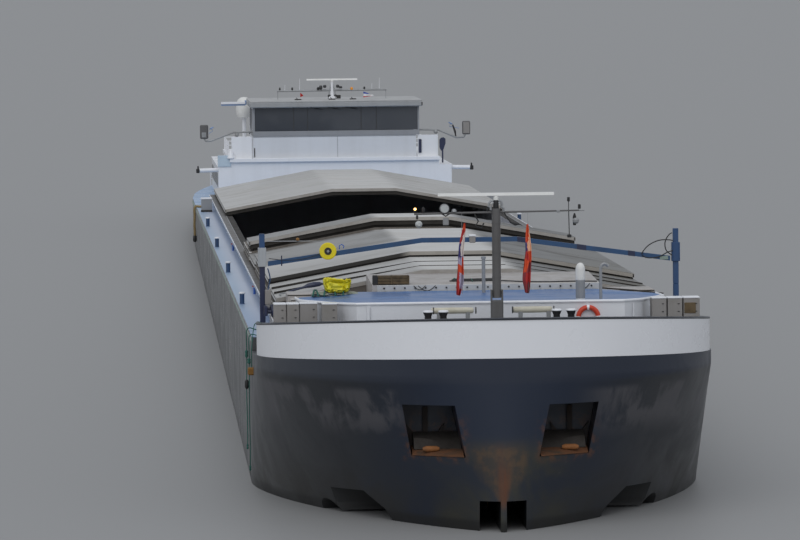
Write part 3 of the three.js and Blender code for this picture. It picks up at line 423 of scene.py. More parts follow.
# Worn paints, metals, plastics and cloths. Columns: finish, the record's slot, colour, grime, its share,
# roughness. Then, where they aren't the usual ones: metalness, scale of blotches, stretch of runs, bump.
WORN = (
    ("hold", "hold_black", (0.36, 0.37, 0.41), (0.27, 0.25, 0.24), 0.4, 0.6, 0, 3.0),
    ("light_blue", "deck_blue", (0.3, 0.385, 0.52), (0.2, 0.22, 0.26), 0.35, 0.25, 0, 5.0, (6, 0.7, 6)),
    ("trunk_blue", "deck_blue", (0.03, 0.11, 0.31), (0.12, 0.25, 0.5), 0.6, 0.3, 0, 6.0, (1.2, 14, 2)),
    ("bollard_blue", "deck_blue", (0.03, 0.07, 0.16), (0.01, 0.015, 0.03), 0.5, 0.3),
    ("white", "white_paint", (0.74, 0.75, 0.78), (0.5, 0.49, 0.46), 0.14, 0.3, 0, 5.0, (6, 6, 1.5)),
    ("band", "white_paint", (0.8, 0.81, 0.84), (0.6, 0.6, 0.62), 0.12, 0.25, 0, 4.0, (5, 5, 1.2), 0.0001),
    ("dark_rail", "hull_blue", (0.02, 0.024, 0.035), (0.06, 0.06, 0.06), 0.4, 0.4),
    ("deck_grey", "white_paint", (0.17, 0.2, 0.24), (0.08, 0.07, 0.06), 0.6, 0.45),
    ("platform", "cover_aluminium", (0.46, 0.435, 0.42), (0.25, 0.22, 0.18), 0.4, 0.45, 0.2, 16.0),
    ("cover_lip", "cover_aluminium", (0.7, 0.69, 0.67), (0.4, 0.37, 0.32), 0.3, 0.35, 0.3),
    # Painted shade and shadow on the covers' aluminium: faces that look forward, stacked layers, near-black
    # recesses and gaps.
    ("cover_side_shade", "cover_aluminium", (0.4, 0.38, 0.355), (0.24, 0.2, 0.16), 0.4, 0.5, 0.2, 30.0),
    ("cover_layer_shade", "cover_aluminium", (0.17, 0.15, 0.13), (0.09, 0.075, 0.06), 0.5, 0.6, 0.2, 30.0),
    ("cover_shadow", "cover_aluminium", (0.03, 0.026, 0.022), (0.015, 0.013, 0.011), 0.5, 0.8),
    ("galvanised", "cover_aluminium", (0.42, 0.43, 0.45), (0.2, 0.18, 0.15), 0.4, 0.4, 0.6),
    ("locker", "locker_grey", (0.275, 0.26, 0.25), (0.16, 0.145, 0.115), 0.35, 0.55),
    ("black", "black_paint", (0.014, 0.014, 0.016), (0.05, 0.035, 0.025), 0.4, 0.35),
    ("rubber", "black_plastic", (0.016, 0.016, 0.017), (0.05, 0.05, 0.045), 0.3, 0.6),
    ("orange", "orange_plastic", (0.62, 0.055, 0.02), (0.35, 0.05, 0.03), 0.3, 0.4),
    ("wood", "crate_wood", (0.13, 0.09, 0.045), (0.04, 0.028, 0.016), 0.8, 0.75, 0, 40.0, (60, 6, 60)),
    ("tarp", "yellow_fabric", (0.8, 0.72, 0.03), (0.45, 0.38, 0.03), 0.45, 0.38, 0, 26.0),
    ("anchor", "anchor_steel", (0.03, 0.027, 0.027), (0.07, 0.035, 0.018), 0.5, 0.7, 0.2),
    ("rust", "hull_blue", (0.13, 0.05, 0.018), (0.04, 0.03, 0.02), 0.9, 0.8, 0, 26.0),
    ("bolster", "hull_blue", (0.27, 0.1, 0.025), (0.09, 0.045, 0.02), 0.7, 0.7, 0, 40.0),
    ("net", "flag_fabric", (0.36, 0.37, 0.32), (0.2, 0.25, 0.2), 0.6, 0.7, 0, 40.0),
    ("ochre", "hull_blue", (0.3, 0.15, 0.035), (0.12, 0.06, 0.02), 0.8, 0.8, 0, 40.0),
    ("pocket", "hull_blue", (0.05, 0.043, 0.038), (0.022, 0.018, 0.015), 0.7, 0.8, 0, 24.0),
    ("mast", "mast_grey", (0.115, 0.112, 0.112), (0.06, 0.055, 0.05), 0.4, 0.45),
    ("fitting", "mast_grey", (0.33, 0.34, 0.35), (0.15, 0.14, 0.13), 0.4, 0.4, 0.3),
    ("plastic", "white_plastic", (0.78, 0.78, 0.76), (0.5, 0.48, 0.42), 0.25, 0.35),
    ("cream", "white_paint", (0.66, 0.63, 0.52), (0.35, 0.3, 0.2), 0.4, 0.4),
    ("gantry", "gantry_blue", (0.026, 0.075, 0.185), (0.03, 0.04, 0.07), 0.3, 0.3),
    ("beam", "gantry_blue", (0.022, 0.075, 0.18), (0.035, 0.05, 0.08), 0.4, 0.5),
    ("sleeve", "gantry_blue", (0.42, 0.44, 0.46), (0.25, 0.26, 0.27), 0.4, 0.4),
    ("gantry_dark", "gantry_blue", (0.018, 0.026, 0.07), (0.05, 0.04, 0.035), 0.35, 0.35),
    ("yellow", "yellow_plastic", (0.8, 0.66, 0.015), (0.5, 0.38, 0.02), 0.3, 0.3),
    ("engine", "engine_iron", (0.1, 0.14, 0.12), (0.04, 0.035, 0.03), 0.4, 0.4),
    ("bronze", "bronze", (0.45, 0.27, 0.09), (0.15, 0.12, 0.06), 0.5, 0.3, 0.9),
    ("glass", "window_glass", (0.055, 0.061, 0.072), (0.075, 0.08, 0.09), 0.3, 0.08, 0, 6.0, (9, 9, 1), 0.0),
    ("console", "black_plastic", (0.03, 0.03, 0.032), (0.06, 0.06, 0.06), 0.3, 0.45),
    ("bright_blue", "gantry_blue", (0.035, 0.12, 0.45), (0.02, 0.05, 0.15), 0.3, 0.4),
    ("teal", "flag_fabric", (0.03, 0.14, 0.11), (0.015, 0.05, 0.04), 0.5, 0.8, 0, 90.0),
    ("tan", "crate_wood", (0.3, 0.22, 0.1), (0.12, 0.08, 0.04), 0.5, 0.85, 0, 90.0),
    ("red", "flag_fabric", (0.45, 0.02, 0.015), (0.2, 0.02, 0.015), 0.3, 0.4),
    ("rail", "cover_aluminium", (0.085, 0.075, 0.07), (0.2, 0.19, 0.18), 0.4, 0.4, 0.3, 40.0),
    ("edge_green", "deck_blue", (0.25, 0.33, 0.29), (0.16, 0.17, 0.14), 0.5, 0.5, 0, 30.0),
    ("locker_pale", "cover_aluminium", (0.55, 0.55, 0.54), (0.35, 0.34, 0.32), 0.4, 0.4, 0.2, 40.0),
    ("bridge", "white_paint", (0.66, 0.68, 0.72), (0.45, 0.45, 0.45), 0.2, 0.3, 0, 8.0),
    ("bridge_grey", "white_paint", (0.28, 0.29, 0.31), (0.2, 0.2, 0.2), 0.3, 0.35),
    ("roof", "white_paint", (0.34, 0.35, 0.36), (0.22, 0.22, 0.21), 0.4, 0.4),
    ("roof_pale", "white_paint", (0.42, 0.42, 0.42), (0.28, 0.28, 0.27), 0.4, 0.45),
    ("pale_blue", "white_paint", (0.5, 0.6, 0.68), (0.3, 0.4, 0.5), 0.4, 0.35, 0, 20.0),
    ("disc_blue", "gantry_blue", (0.2, 0.3, 0.5), (0.1, 0.14, 0.25), 0.4, 0.35),
    # A paler copy of the bridge's white, as painted light on the lower house.
    ("bridge_lit_pale", "white_paint", (0.8, 0.81, 0.84), (0.55, 0.55, 0.56), 0.2, 0.3, 0, 8.0),
    ("cloth_red", "flag_fabric", (0.5, 0.035, 0.03), (0.25, 0.02, 0.03), 0.5, 0.85, 0, 60.0),
    ("cloth_dark_red", "flag_fabric", (0.26, 0.03, 0.035), (0.3, 0.09, 0.1), 0.5, 0.85, 0, 60.0),
    ("cloth_orange", "flag_fabric", (0.7, 0.09, 0.025), (0.5, 0.05, 0.03), 0.5, 0.85, 0, 60.0),
    # A painted highlight on the folds of the port flag.
    ("cloth_peach", "flag_fabric", (0.85, 0.5, 0.33), (0.7, 0.25, 0.12), 0.5, 0.85, 0, 60.0),
    ("cloth_white", "flag_fabric", (0.75, 0.68, 0.64), (0.5, 0.4, 0.4), 0.5, 0.85, 0, 60.0),
    ("cloth_lilac", "flag_fabric", (0.45, 0.4, 0.52), (0.3, 0.25, 0.4), 0.5, 0.85, 0, 60.0),
    ("cloth_navy", "flag_fabric", (0.05, 0.045, 0.2), (0.03, 0.03, 0.09), 0.5, 0.85, 0, 60.0),
    ("lens", "window_glass", (0.5, 0.52, 0.52), (0.3, 0.3, 0.3), 0.3, 0.08),
    ("amber", "orange_plastic", (0.8, 0.3, 0.02), (0.5, 0.2, 0.02), 0.3, 0.15),
)
# Every finish by the name that the pieces below use, with the record's slot that it belongs to.
FINISHES = {name: (worn(name.replace("_", " "), *looks), slot) for name, slot, *looks in WORN}
FINISHES.update({
    "hull": (hull_paint(), "hull_blue"),
    "hull_aft": (deck_top_paint("hull aft", (0.2, 0.33, 0.55), (0.03, 0.036, 0.05)), "hull_blue"),
    # The sides' grey is a painted sky reflection on the dark plating.
    "side": (deck_top_paint("hull side", (0.25, 0.4, 0.62), SIDE_REFLECTION_GREY), "hull_blue"),
    "walk": (walk_paint(), "deck_blue"),
    "cover": (planked("cover planks", (0.62, 0.61, 0.59), (0.3, 0.27, 0.22)), "cover_aluminium"),
    "cover_face": (face_paint("shaded face", (0.36, 0.335, 0.3), (0.03, 0.027, 0.024)), "cover_aluminium"),
    "pennant": (banded("pennant cloth", PENNANT, 0.8, 0.83, 60.0, 0.001), "flag_fabric"),
    "lit": (glowing("lit lamp", (1.0, 0.55, 0.15), 6.0), "yellow_plastic"),
})


class Shape:
    """A mesh that grows part by part and is placed as one object."""

    def __init__(self):
        self.points = []
        self.faces = []

    def add(self, points, faces):
        first = len(self.points)
        self.points += [tuple(p) for p in points]
        self.faces += [tuple(i + first for i in face) for face in faces]
        return self

    def box(self, low, high, edge=0.0008):
        """A box with chamfered edges. Each corner has one point on each of its three faces."""
        low, high = [min(a, b) for a, b in zip(low, high)], [max(a, b) for a, b in zip(low, high)]
        edge = min([edge] + [(b - a) * 0.3 for a, b in zip(low, high)])
        points = []
        for corner in range(8):
            ends = [(corner >> axis) & 1 for axis in range(3)]
            for face in range(3):
                points.append([
                    (high[a] if ends[a] else low[a]) + (0 if a == face else (-edge if ends[a] else edge))
                    for a in range(3)])
        faces = []
        for axis in range(3):
            b, c = (axis + 1) % 3, (axis + 2) % 3
            for end in (0, 1):
                ring = [end << axis | p << b | q << c for p, q in ((0, 0), (1, 0), (1, 1), (0, 1))]
                faces.append([3 * corner + axis for corner in ring])
            for p, q in ((0, 0), (1, 0), (1, 1), (0, 1)):
                first = p << b | q << c
                last = first | 1 << axis
                faces.append([3 * first + b, 3 * last + b, 3 * last + c, 3 * first + c])
        faces += [[3 * corner, 3 * corner + 1, 3 * corner + 2] for corner in range(8)]
        return self.add(points, faces)

    def loft(self, rings, closed=True, capped=True):
        """Skins rings of equally many points. A ring is closed on itself when closed is set."""
        count = len(rings[0])
        points = [p for ring in rings for p in ring]
        faces = []
        for i in range(len(rings) - 1):
            for j in range(count if closed else count - 1):
                k = (j + 1) % count
                faces.append((i * count + j, (i + 1) * count + j, (i + 1) * count + k, i * count + k))
        if closed and capped:
            last = (len(rings) - 1) * count
            faces.append(tuple(range(count)))
            faces.append(tuple(last + j for j in range(count)))
        return self.add(points, faces)

    def tube(self, path, radius, sides=8, flat=1.0):
        """A round bar along a path. Radius is a number or one number per point."""
        path = [Vector(p) for p in path]
        radii = radius if hasattr(radius, "__len__") else [radius] * len(path)
        rings = []
        side = None
        for i, point in enumerate(path):
            way = (path[min(i + 1, len(path) - 1)] - path[max(i - 1, 0)]).normalized()
            if side is None:
                side = way.cross(Vector((0, 0, 1)) if abs(way.z) < 0.9 else Vector((0, 1, 0))).normalized()
            side = (side - way * side.dot(way)).normalized()
            up = way.cross(side)
            rings.append([point + radii[i] * (math.cos(t) * side + flat * math.sin(t) * up)
                          for t in (2 * math.pi * k / sides for k in range(sides))])
        return self.loft(rings)

    def turned(self, profile, centre, axis="z", sides=20):
        """A solid of revolution. Profile is (radius, distance along the axis) from one end to the other."""
        order = {"x": (1, 2, 0), "y": (2, 0, 1), "z": (0, 1, 2)}[axis]
        rings = []
        for radius, along in profile:
            ring = []
            for k in range(sides):
                turn = 2 * math.pi * k / sides
                local = (radius * math.cos(turn), radius * math.sin(turn), along)
                place = [0, 0, 0]
                for value, index in zip(local, order):
                    place[index] = value
                ring.append([c + v for c, v in zip(centre, place)])
            rings.append(ring)
        return self.loft(rings)

    def arch(self, section, first, last):
        """A closed section in X and Z, swept between two stations."""
        return self.loft([[(x, at(s), z) for x, z in section] for s in (first, last)])

    def pair(self, low, high, edge=0.0008):
        """The same box on both sides of the ship, given for port."""
        for side in (-1, 1):
            self.box((side * low[0], *low[1:]), (side * high[0], *high[1:]), edge)
        return self

    def plate(self, outline, y, half):
        """An outline in X and Z, thickened by half on either side of Y."""
        return self.loft([[(x, y + d, z) for x, z in outline] for d in (-half, half)])

    def across(self, outline, places):
        """An outline in Y and Z, swept over places across the ship."""
        return self.loft([[(x, y, z) for y, z in outline] for x in places])

    def upright(self, x, y, low, high, radius, sides=6):
        """A round bar between two heights."""
        return self.tube([(x, y, low), (x, y, high)], radius, sides)

    def mesh(self, name, solid=True):
        """All parts as one mesh with merged points. The faces of a solid are turned outward."""
        mesh = bpy.data.meshes.new(name)
        mesh.from_pydata(self.points, [], self.faces)
        work = bmesh.new()
        work.from_mesh(mesh)
        bmesh.ops.remove_doubles(work, verts=work.verts, dist=1e-6)
        if solid:
            bmesh.ops.recalc_face_normals(work, faces=work.faces)
        work.to_mesh(mesh)
        work.free()
        return mesh

    def place(self, name, finish, body="hull", replaces=(), angle=35, solid=True):
        """Puts the shape in the scene as one piece, which rides on a body and may stand for nodes."""
        mesh = self.mesh(name, solid)
        mesh.shade_smooth()
        mesh.set_sharp_from_angle(angle=math.radians(angle))
        material, slot = FINISHES[finish]
        mesh.materials.append(material)
        piece = bpy.data.objects.new(name, mesh)
        bpy.context.scene.collection.objects.link(piece)
        if replaces:
            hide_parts(*replaces)
        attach(piece, body)
        return piece


def carve(piece, cutter):
    """Cuts a shape out of a placed piece, for good."""
    tool = bpy.data.objects.new("cutter", cutter.mesh("cutter"))
    bpy.context.scene.collection.objects.link(tool)
    boolean = piece.modifiers.new("cut", "BOOLEAN")
    boolean.object = tool
    boolean.operation = "DIFFERENCE"
    boolean.solver = "EXACT"
    boolean.use_self = True
    bpy.context.view_layer.update()
    cut = bpy.data.meshes.new_from_object(piece.evaluated_get(bpy.context.evaluated_depsgraph_get()))
    piece.modifiers.clear()
    piece.data = cut
    cut.set_sharp_from_angle(angle=math.radians(30))
    bpy.data.objects.remove(tool)


def mirror(ring):
    """Adds the other side of the ship to a ring's points, in reverse."""
    return ring + [(-p[0], *p[1:]) for p in reversed(ring)]


def clamp(value):
    return max(0.0, min(1.0, value))


def half_at(table, station):
    """The half-breadth at a station, from a table of (station, half-breadth)."""
    for (s0, a), (s1, b) in zip(table, table[1:]):
        if station <= s1:
            return a + (b - a) * clamp((station - s0) / (s1 - s0))
    return table[-1][1]


# The bow. Columns: height, rake of the stem, length to full beam, power, root, greatest half-breadth,
# share of the sheer.
BOW_LEVELS = (
    (KEEL_Z, 0.09, 1.15, 1.5, 1.15, HALF_BEAM - BILGE, 0),
    (KEEL_Z + BILGE, 0.055, 1.15, 1.5, 1.2, HALF_BEAM, 0),
    (0, 0, 1.1, 1.6, 1.25, HALF_BEAM, 0),
    (0.17, 0, 0.93, 1.8, 1.6, HALF_BEAM, 0),
    (0.29, 0, 0.79, 1.9, 1.85, HALF_BEAM, 0),
    (KNUCKLE_Z, 0, 0.71, 2, 2, HALF_BEAM, 0.45),
    (BAND_LOW_Z, 0, 0.71, 2, 2, HALF_BEAM, 1),
)
LEVEL_STEPS = 5
BOW_STEPS = 72


def band_z(station):
    return BAND_LOW_Z + SHEER * max(0.0, 1 - station) ** 1.45


def bulwark_z(station):
    return band_z(station) + 0.068 + 0.025 * max(0.0, 1 - station)


def foredeck_z(station):
    return bulwark_z(station) - BULWARK_HEIGHT


def breadth(distance, run, power, root, greatest):
    share = max(0.0, 1 - distance / run)
    return max(STEM_HALF, greatest * (1 - share ** power) ** (1 / root))


def plan(station, inset=0.0):
    taper = SHOULDER_TAPER * clamp((station - 0.5) / (FORECASTLE_END - 0.5))
    return breadth(station - inset, 0.71, 2, 2, HALF_BEAM - inset) - taper


def bow_columns():
    columns = []
    for low, high in zip(BOW_LEVELS, BOW_LEVELS[1:]):
        for step in range(LEVEL_STEPS):
            share = step / LEVEL_STEPS
            columns.append([a + (b - a) * share for a, b in zip(low, high)])
    return columns + [list(BOW_LEVELS[-1])]


def bow_sections(end):
    rings = []
    for i in range(BOW_STEPS + 1):
        step = (i / BOW_STEPS) ** 1.7
        side = []
        for z, rake, run, power, root, greatest, sheer in bow_columns():
            station = rake + (end - rake) * step
            side.append((breadth(station - rake, run, power, root, greatest), at(station),
                         z + sheer * (band_z(station) - BAND_LOW_Z)))
        rings.append(mirror(side))
    return rings


# Anchor pockets: half-breadths of their inner and outer ends above and below, and their heights.
POCKET_TOP = (0.113, 0.236)
POCKET_FOOT = (0.088, 0.213)
POCKET_LOW_Z = 0.178
POCKET_HIGH_Z = 0.303
POCKET_BACK = 0.205
THRUSTER_STATION = 0.48
# The recess in the shell beside the thruster's tunnel, as (station, height).
THRUSTER_RECESS = ((0.262, -0.03), (0.262, 0.036), (0.3, 0.078), (0.425, 0.076), (0.44, 0.04), (0.44, -0.03))


def pocket_section(side):
    section = ((POCKET_FOOT[0], POCKET_LOW_Z), (POCKET_FOOT[1], POCKET_LOW_Z),
               (POCKET_TOP[1], POCKET_HIGH_Z), (POCKET_TOP[0], POCKET_HIGH_Z))
    return [(side * x, z) for x, z in section]


def bow():
    rings = bow_sections(HOLD_FORE)
    shell = Shape().loft(rings, capped=False)
    half = len(rings[0]) // 2
    for ring in (rings[0], rings[-1]):
        shell.add(ring, [(i, i + 1, 2 * half - 2 - i, 2 * half - 1 - i) for i in range(half - 1)])
    shell = shell.place("bow_shell", "hull", replaces=("hull_bow",), angle=40)
    thruster = at(THRUSTER_STATION)
    cutters = Shape()
    for side in (-1, 1):
        cutters.arch(pocket_section(side), -0.05, POCKET_BACK)
        cutters.box((side * 0.007, at(-0.05), -0.06), (side * 0.056, thruster, 0.074), 0)
        cutters.across([(at(s), z) for s, z in THRUSTER_RECESS], (side * 0.24, side * 0.6))
    cutters.turned([(0.044, -0.62), (0.044, 0.62)], (0, thruster, 0), "x", 28)
    carve(shell, cutters)
    shoulder = Shape().box((-HALF_BEAM, at(FORECASTLE_END + 0.005), BAND_LOW_Z + 0.0002),
                           (HALF_BEAM, at(HOLD_FORE), GANGWAY_Z), 0.001)
    shoulder.place("shoulder_deck", "side")
    pod = Shape().turned([(0.006, -0.0175), (0.009, -0.012), (0.009, 0.012), (0.006, 0.0175)],
                         (0.0225, thruster, 0), "x", 20)
    pod.box((0.018, thruster - 0.004, 0), (0.03, thruster + 0.004, 0.089), 0.001)
    pod.place("thruster_pod", "hold")
    for side, word in SIDES:
        pocket_floor(side, word)


def pocket_floor(side, word):
    """The sill, dirt and worn bolster in an anchor pocket."""
    ends = ((POCKET_FOOT[0] + 0.004, 0.022, 0.06), (POCKET_FOOT[1] - 0.002, 0.104, 0.118))
    sill = Shape().loft([[(side * x, at(s), POCKET_LOW_Z + rise)
                          for s, rise in ((lip, 0.001), (top, 0.012), (0.2, 0.018), (0.2, 0))]
                         for x, lip, top in ends])
    sill.place(f"pocket_sill_{word}", "rust")
    rings = []
    for x in (0.094, 0.11, 0.13, 0.15, 0.17, 0.19, 0.206):
        dirt = ((0.095 + 0.02 * math.sin(9 * x), 0.014), (0.13, 0.034 + 0.006 * math.sin(40 * x)),
                (0.19, 0.05), (0.19, 0.014))
        rings.append([(side * x, at(s), POCKET_LOW_Z + rise) for s, rise in dirt])
    Shape().loft(rings).place(f"pocket_ledge_{word}", "pocket")
    bolster = Shape().turned([(0.004, -0.02), (0.007, -0.012), (0.007, 0.012), (0.004, 0.02)],
                             (side * 0.167, at(0.088), POCKET_LOW_Z + 0.017), "x", 12)
    bolster.place(f"pocket_bolster_{word}", "bolster")


# Stays inside the bulwark: how many on a side, the foremost one's station and their spacing.
STAYS = 13
STAY_FORE = 0.12
STAY_PITCH = 0.058


def forecastle():
    steps = [(i / 64) ** 1.8 for i in range(65)]

    def form(inset, end, low, high):
        rings = []
        for step in steps:
            station = inset + (end - inset) * step
            half = plan(station, inset)
            rings.append(mirror([(half, at(station), low(station)), (half, at(station), high(station))]))
        return Shape().loft(rings)

    band = form(0, FORECASTLE_END, lambda s: band_z(s) + 0.0003, bulwark_z)
    piece = band.place("white_band", "band", replaces=("forecastle",), angle=25)
    carve(piece, form(BULWARK_THICKNESS, FORECASTLE_END + 0.05, foredeck_z, lambda s: foredeck_z(s) + 0.08))
    rail_path = [(side * max(0.0, plan(s) - 0.004), at(s + 0.002), bulwark_z(s) + 0.001)
                 for side, order in ((-1, reversed(steps)), (1, steps))
                 for s in (FORECASTLE_END * t for t in order)]
    Shape().tube(rail_path, 0.0062, 8, 0.55).place("bulwark_rail", "dark_rail")
    rings = [[(side * (plan(s, BULWARK_THICKNESS) - 0.001), at(s), foredeck_z(s) + lift)
              for side, lift in ((1, 0.0), (1, 0.0012), (-1, 0.0012), (-1, 0.0))]
             for s in (0.02 + (FORECASTLE_END - 0.02) * t for t in steps)]
    Shape().loft(rings).place("foredeck_plating", "deck_grey")
    stays = Shape()
    for side in (-1, 1):
        for index in range(STAYS):
            s = STAY_FORE + index * STAY_PITCH
            x = side * (plan(s, BULWARK_THICKNESS) - 0.0005)
            low, high = foredeck_z(s) + 0.001, bulwark_z(s) - 0.003
            stays.plate([(x, low), (x, high), (x - side * 0.004, high), (x - side * 0.018, low)], at(s),
                        0.0008)
    stays.place("bulwark_stays", "white")


def trunk_z(station, aft_z=TRUNK_AFT_Z):
    return TRUNK_FORE_Z + (aft_z - TRUNK_FORE_Z) * (station - TRUNK_FORE) / (FORECASTLE_END - TRUNK_FORE)


def ridge_z(station):
    return trunk_z(station, TRUNK_RIDGE_AFT_Z)


# Half-breadths of the trunk by station.
TRUNK_PLAN = ((TRUNK_FORE, 0.328), (0.43, 0.37), (0.56, 0.415), (0.7, 0.455), (FORECASTLE_END, 0.458))


def trunk():
    stations = [TRUNK_FORE + (FORECASTLE_END - TRUNK_FORE) * i / 16 for i in range(17)]

    def rings(inset, low, lift, first=0.0):
        made = []
        for s in stations:
            half = half_at(TRUNK_PLAN, s) - inset
            y = max(at(s), at(TRUNK_FORE + first))
            side = [(half, low(s)), (half, trunk_z(s) + lift), (TRUNK_RIDGE_HALF, ridge_z(s) + lift)]
            made.append(mirror([(x, y, z) for x, z in side]))
        return made

    walls = Shape().loft(rings(0, lambda s: foredeck_z(s) + 0.0008, -0.001))
    walls.place("trunk_walls", "white", replaces=("foredeck_trunk",))
    top = Shape().loft(rings(0.003, lambda s: trunk_z(s) - 0.002, 0.0005, 0.003))
    top.place("trunk_top", "trunk_blue")
    rim = [(side * half_at(TRUNK_PLAN, s), at(s), trunk_z(s))
           for side, order in ((-1, reversed(stations)), (1, stations)) for s in order]
    Shape().tube(rim, 0.0038, 8).place("trunk_rim", "band")
    seams = Shape()
    for x in (-0.22, -0.11, 0.0, 0.11, 0.22):
        seams.box((x - 0.0006, at(TRUNK_FORE) - 0.0006, 0.45), (x + 0.0006, at(TRUNK_FORE), 0.52), 0.0002)
    seams.upright(-0.299, at(TRUNK_FORE) - 0.003, 0.447, 0.519, 0.0045, 10)
    seams.upright(0.352, at(0.4), 0.447, 0.519, 0.0015)
    seams.place("trunk_seams", "white")


def trunk_fittings():
    x, y = 0.226, at(0.45)
    vent = Shape().turned([(0.013, 0.52), (0.011, 0.53), (0.011, 0.574), (0.0118, 0.575), (0.0118, 0.6),
                           (0.0105, 0.607), (0.0075, 0.613), (0.003, 0.616)], (x, y, 0), "z", 24)
    vent.place("foredeck_vent", "plastic")
    Shape().turned([(0.0116, 0.529), (0.0116, 0.5735)], (x, y, 0), "z", 24).place("vent_pipe", "fitting")
    x, y = 0.277, at(0.46)
    neck = [(x, y, z) for z in (0.518, 0.56, 0.598)]
    neck += [(x + 0.009 * (1 - math.cos(t)), y, 0.6 + 0.012 * math.sin(t)) for t in (0.4, 0.8, 1.2, 1.57)]
    neck += [(x + 0.015, y, 0.611), (x + 0.019, y, 0.606)]
    Shape().tube(neck, 0.0038, 10).place("gooseneck", "fitting")
    x, y = 0.012, at(0.8)
    post = Shape().upright(x, y, 0.508, 0.61, 0.0045, 12)
    post.turned([(0.006, 0), (0.006, 0.006)], (x, y, 0.61), "z", 12)
    for offset in (-0.014, 0.014):
        post.plate([(x, 0.53), (x + offset, 0.512), (x, 0.512)], y, 0.001)
    post.box((x - 0.018, y - 0.008, 0.512), (x + 0.018, y + 0.008, 0.516), 0.001)
    post.place("foredeck_post", "fitting")


def folded_net():
    """A strapped roll of canvas beside the bag."""
    around, along = 18, 28
    rings = []
    for i in range(along + 1):
        share = i / along
        x = -0.42 + 0.118 * share
        swell = math.sin(math.pi * clamp(share * 0.94 + 0.03)) ** 0.35
        ring = []
        for j in range(around):
            turn = 2 * math.pi * j / around
            lump = 0.8 + 0.5 * noise.noise(Vector((x * 45, 3 * math.cos(turn), 3 * math.sin(turn))))
            lift = max(-0.0075, 0.0105 * swell * lump * math.sin(turn))
            ring.append((x, at(0.86) + 0.04 * swell * lump * math.cos(turn), 0.5225 + lift))
        rings.append(ring)
    Shape().loft(rings).place("folded_net", "net", angle=20)
    straps = Shape()
    for x, lean in ((-0.418, 0.016), (-0.404, -0.01), (-0.39, 0.014), (-0.36, -0.012), (-0.342, 0.01)):
        straps.tube([(x + lean * k / 6, at(0.812) + 0.09 * k / 6,
                      0.5215 + 0.0125 * math.sin(math.pi * k / 6) ** 0.5) for k in range(7)], 0.0021, 6)
    straps.place("net_straps", "teal")


# Lockers. Columns: inner and outer x, first and last station, top.
LOCKERS = (
    ("starboard", (-0.526, -0.496, 0.5, 0.552, 0.523)),
    ("starboard", (-0.494, -0.464, 0.5, 0.552, 0.523)),
    ("starboard", (-0.462, -0.419, 0.5, 0.552, 0.524)),
    ("starboard", (-0.412, -0.375, 0.378, 0.43, 0.5295)),
    ("port", (0.401, 0.437, 0.44, 0.488, 0.529)),
    ("port", (0.44, 0.476, 0.44, 0.488, 0.529)),
    ("port", (0.479, 0.519, 0.44, 0.488, 0.529)),
)


def lockers():
    for side in ("starboard", "port"):
        bodies, lids, handles = Shape(), Shape(), Shape()
        for word, (x0, x1, s0, s1, top) in LOCKERS:
            if word != side:
                continue
            bodies.box((x0, at(s0), foredeck_z(s0) + 0.001), (x1, at(s1), top - 0.003), 0.0012)
            lids.box((x0 - 0.0006, at(s0) - 0.0012, top - 0.0035), (x1 + 0.0006, at(s1), top), 0.001)
            for z in (top - 0.017, top - 0.036):
                handles.box((x1 - 0.0115, at(s0) - 0.0018, z), (x1 - 0.0065, at(s0), z + 0.0016), 0.0004)
        bodies.place(f"locker_bodies_{side}", "locker", replaces=(f"lockers_{side}",))
        lids.place(f"locker_lids_{side}", "band")
        handles.place(f"locker_handles_{side}", "black")


BOLLARDS_FORE = (-0.164, -0.127, 0.147, 0.182)
BOLLARD_FORE_STATION = 0.205
WINDLASS_STATION = 0.264
WINDLASS_Z = 0.5145


def bow_bollards():
    y = at(BOLLARD_FORE_STATION)
    base = foredeck_z(0.2) + 0.001
    black, caps = Shape(), Shape()
    for x in BOLLARDS_FORE:
        black.turned([(0.011, 0.46), (0.0085, 0.466), (0.0082, 0.505), (0.0115, 0.513), (0.0125, 0.5145)],
                     (x, y, 0), "z", 24)
        caps.turned([(0.0125, 0.5146), (0.0128, 0.5165), (0.011, 0.519), (0.004, 0.5195)],
                    (x, y, 0), "z", 24)
    for x0, x1 in ((-0.194, -0.106), (0.126, 0.212)):
        black.box((x0, y - 0.014, base), (x1, y + 0.014, 0.474), 0.003)
    black.box((-0.11, y - 0.004, base), (0.13, y + 0.004, 0.467), 0.001)
    black.place("bow_bollards", "black", replaces=("bollards_fore",))
    caps.place("bow_bollard_caps", "band")


def windlass():
    y = at(WINDLASS_STATION)
    stand, drums, ends = Shape(), Shape(), Shape()
    stand.box((-0.16, y - 0.013, foredeck_z(0.26) + 0.001), (0.145, y + 0.013, 0.494), 0.003)
    for x in (-0.134, -0.064, 0.064, 0.132):
        stand.box((x - 0.005, y - 0.006, 0.49), (x + 0.005, y + 0.006, 0.512), 0.001)
    stand.place("windlass_frame", "fitting", replaces=("windlass",))
    for x0, x1 in ((-0.153, -0.05), (0.045, 0.141)):
        middle, half = (x0 + x1) / 2, (x1 - x0) / 2
        profile = [(0.005, half), (0.0072, half - 0.003), (0.0074, half - 0.006)]
        profile = [(r, -along) for r, along in profile] + [(0.0078, 0)] + profile[::-1]
        drums.turned(profile, (middle, y, WINDLASS_Z), "x", 24)
    for x in (-0.1475, -0.0445, 0.0445, 0.145):
        ends.turned([(0.0085, -0.0012), (0.0085, 0.0012)], (x, y, WINDLASS_Z), "x", 20)
    drums.place("windlass_drums", "cream")
    ends.place("windlass_flanges", "black")


LIFE_RING_X = 0.238
LIFE_RING_Z = 0.487
LIFE_RING_RADIUS = 0.024


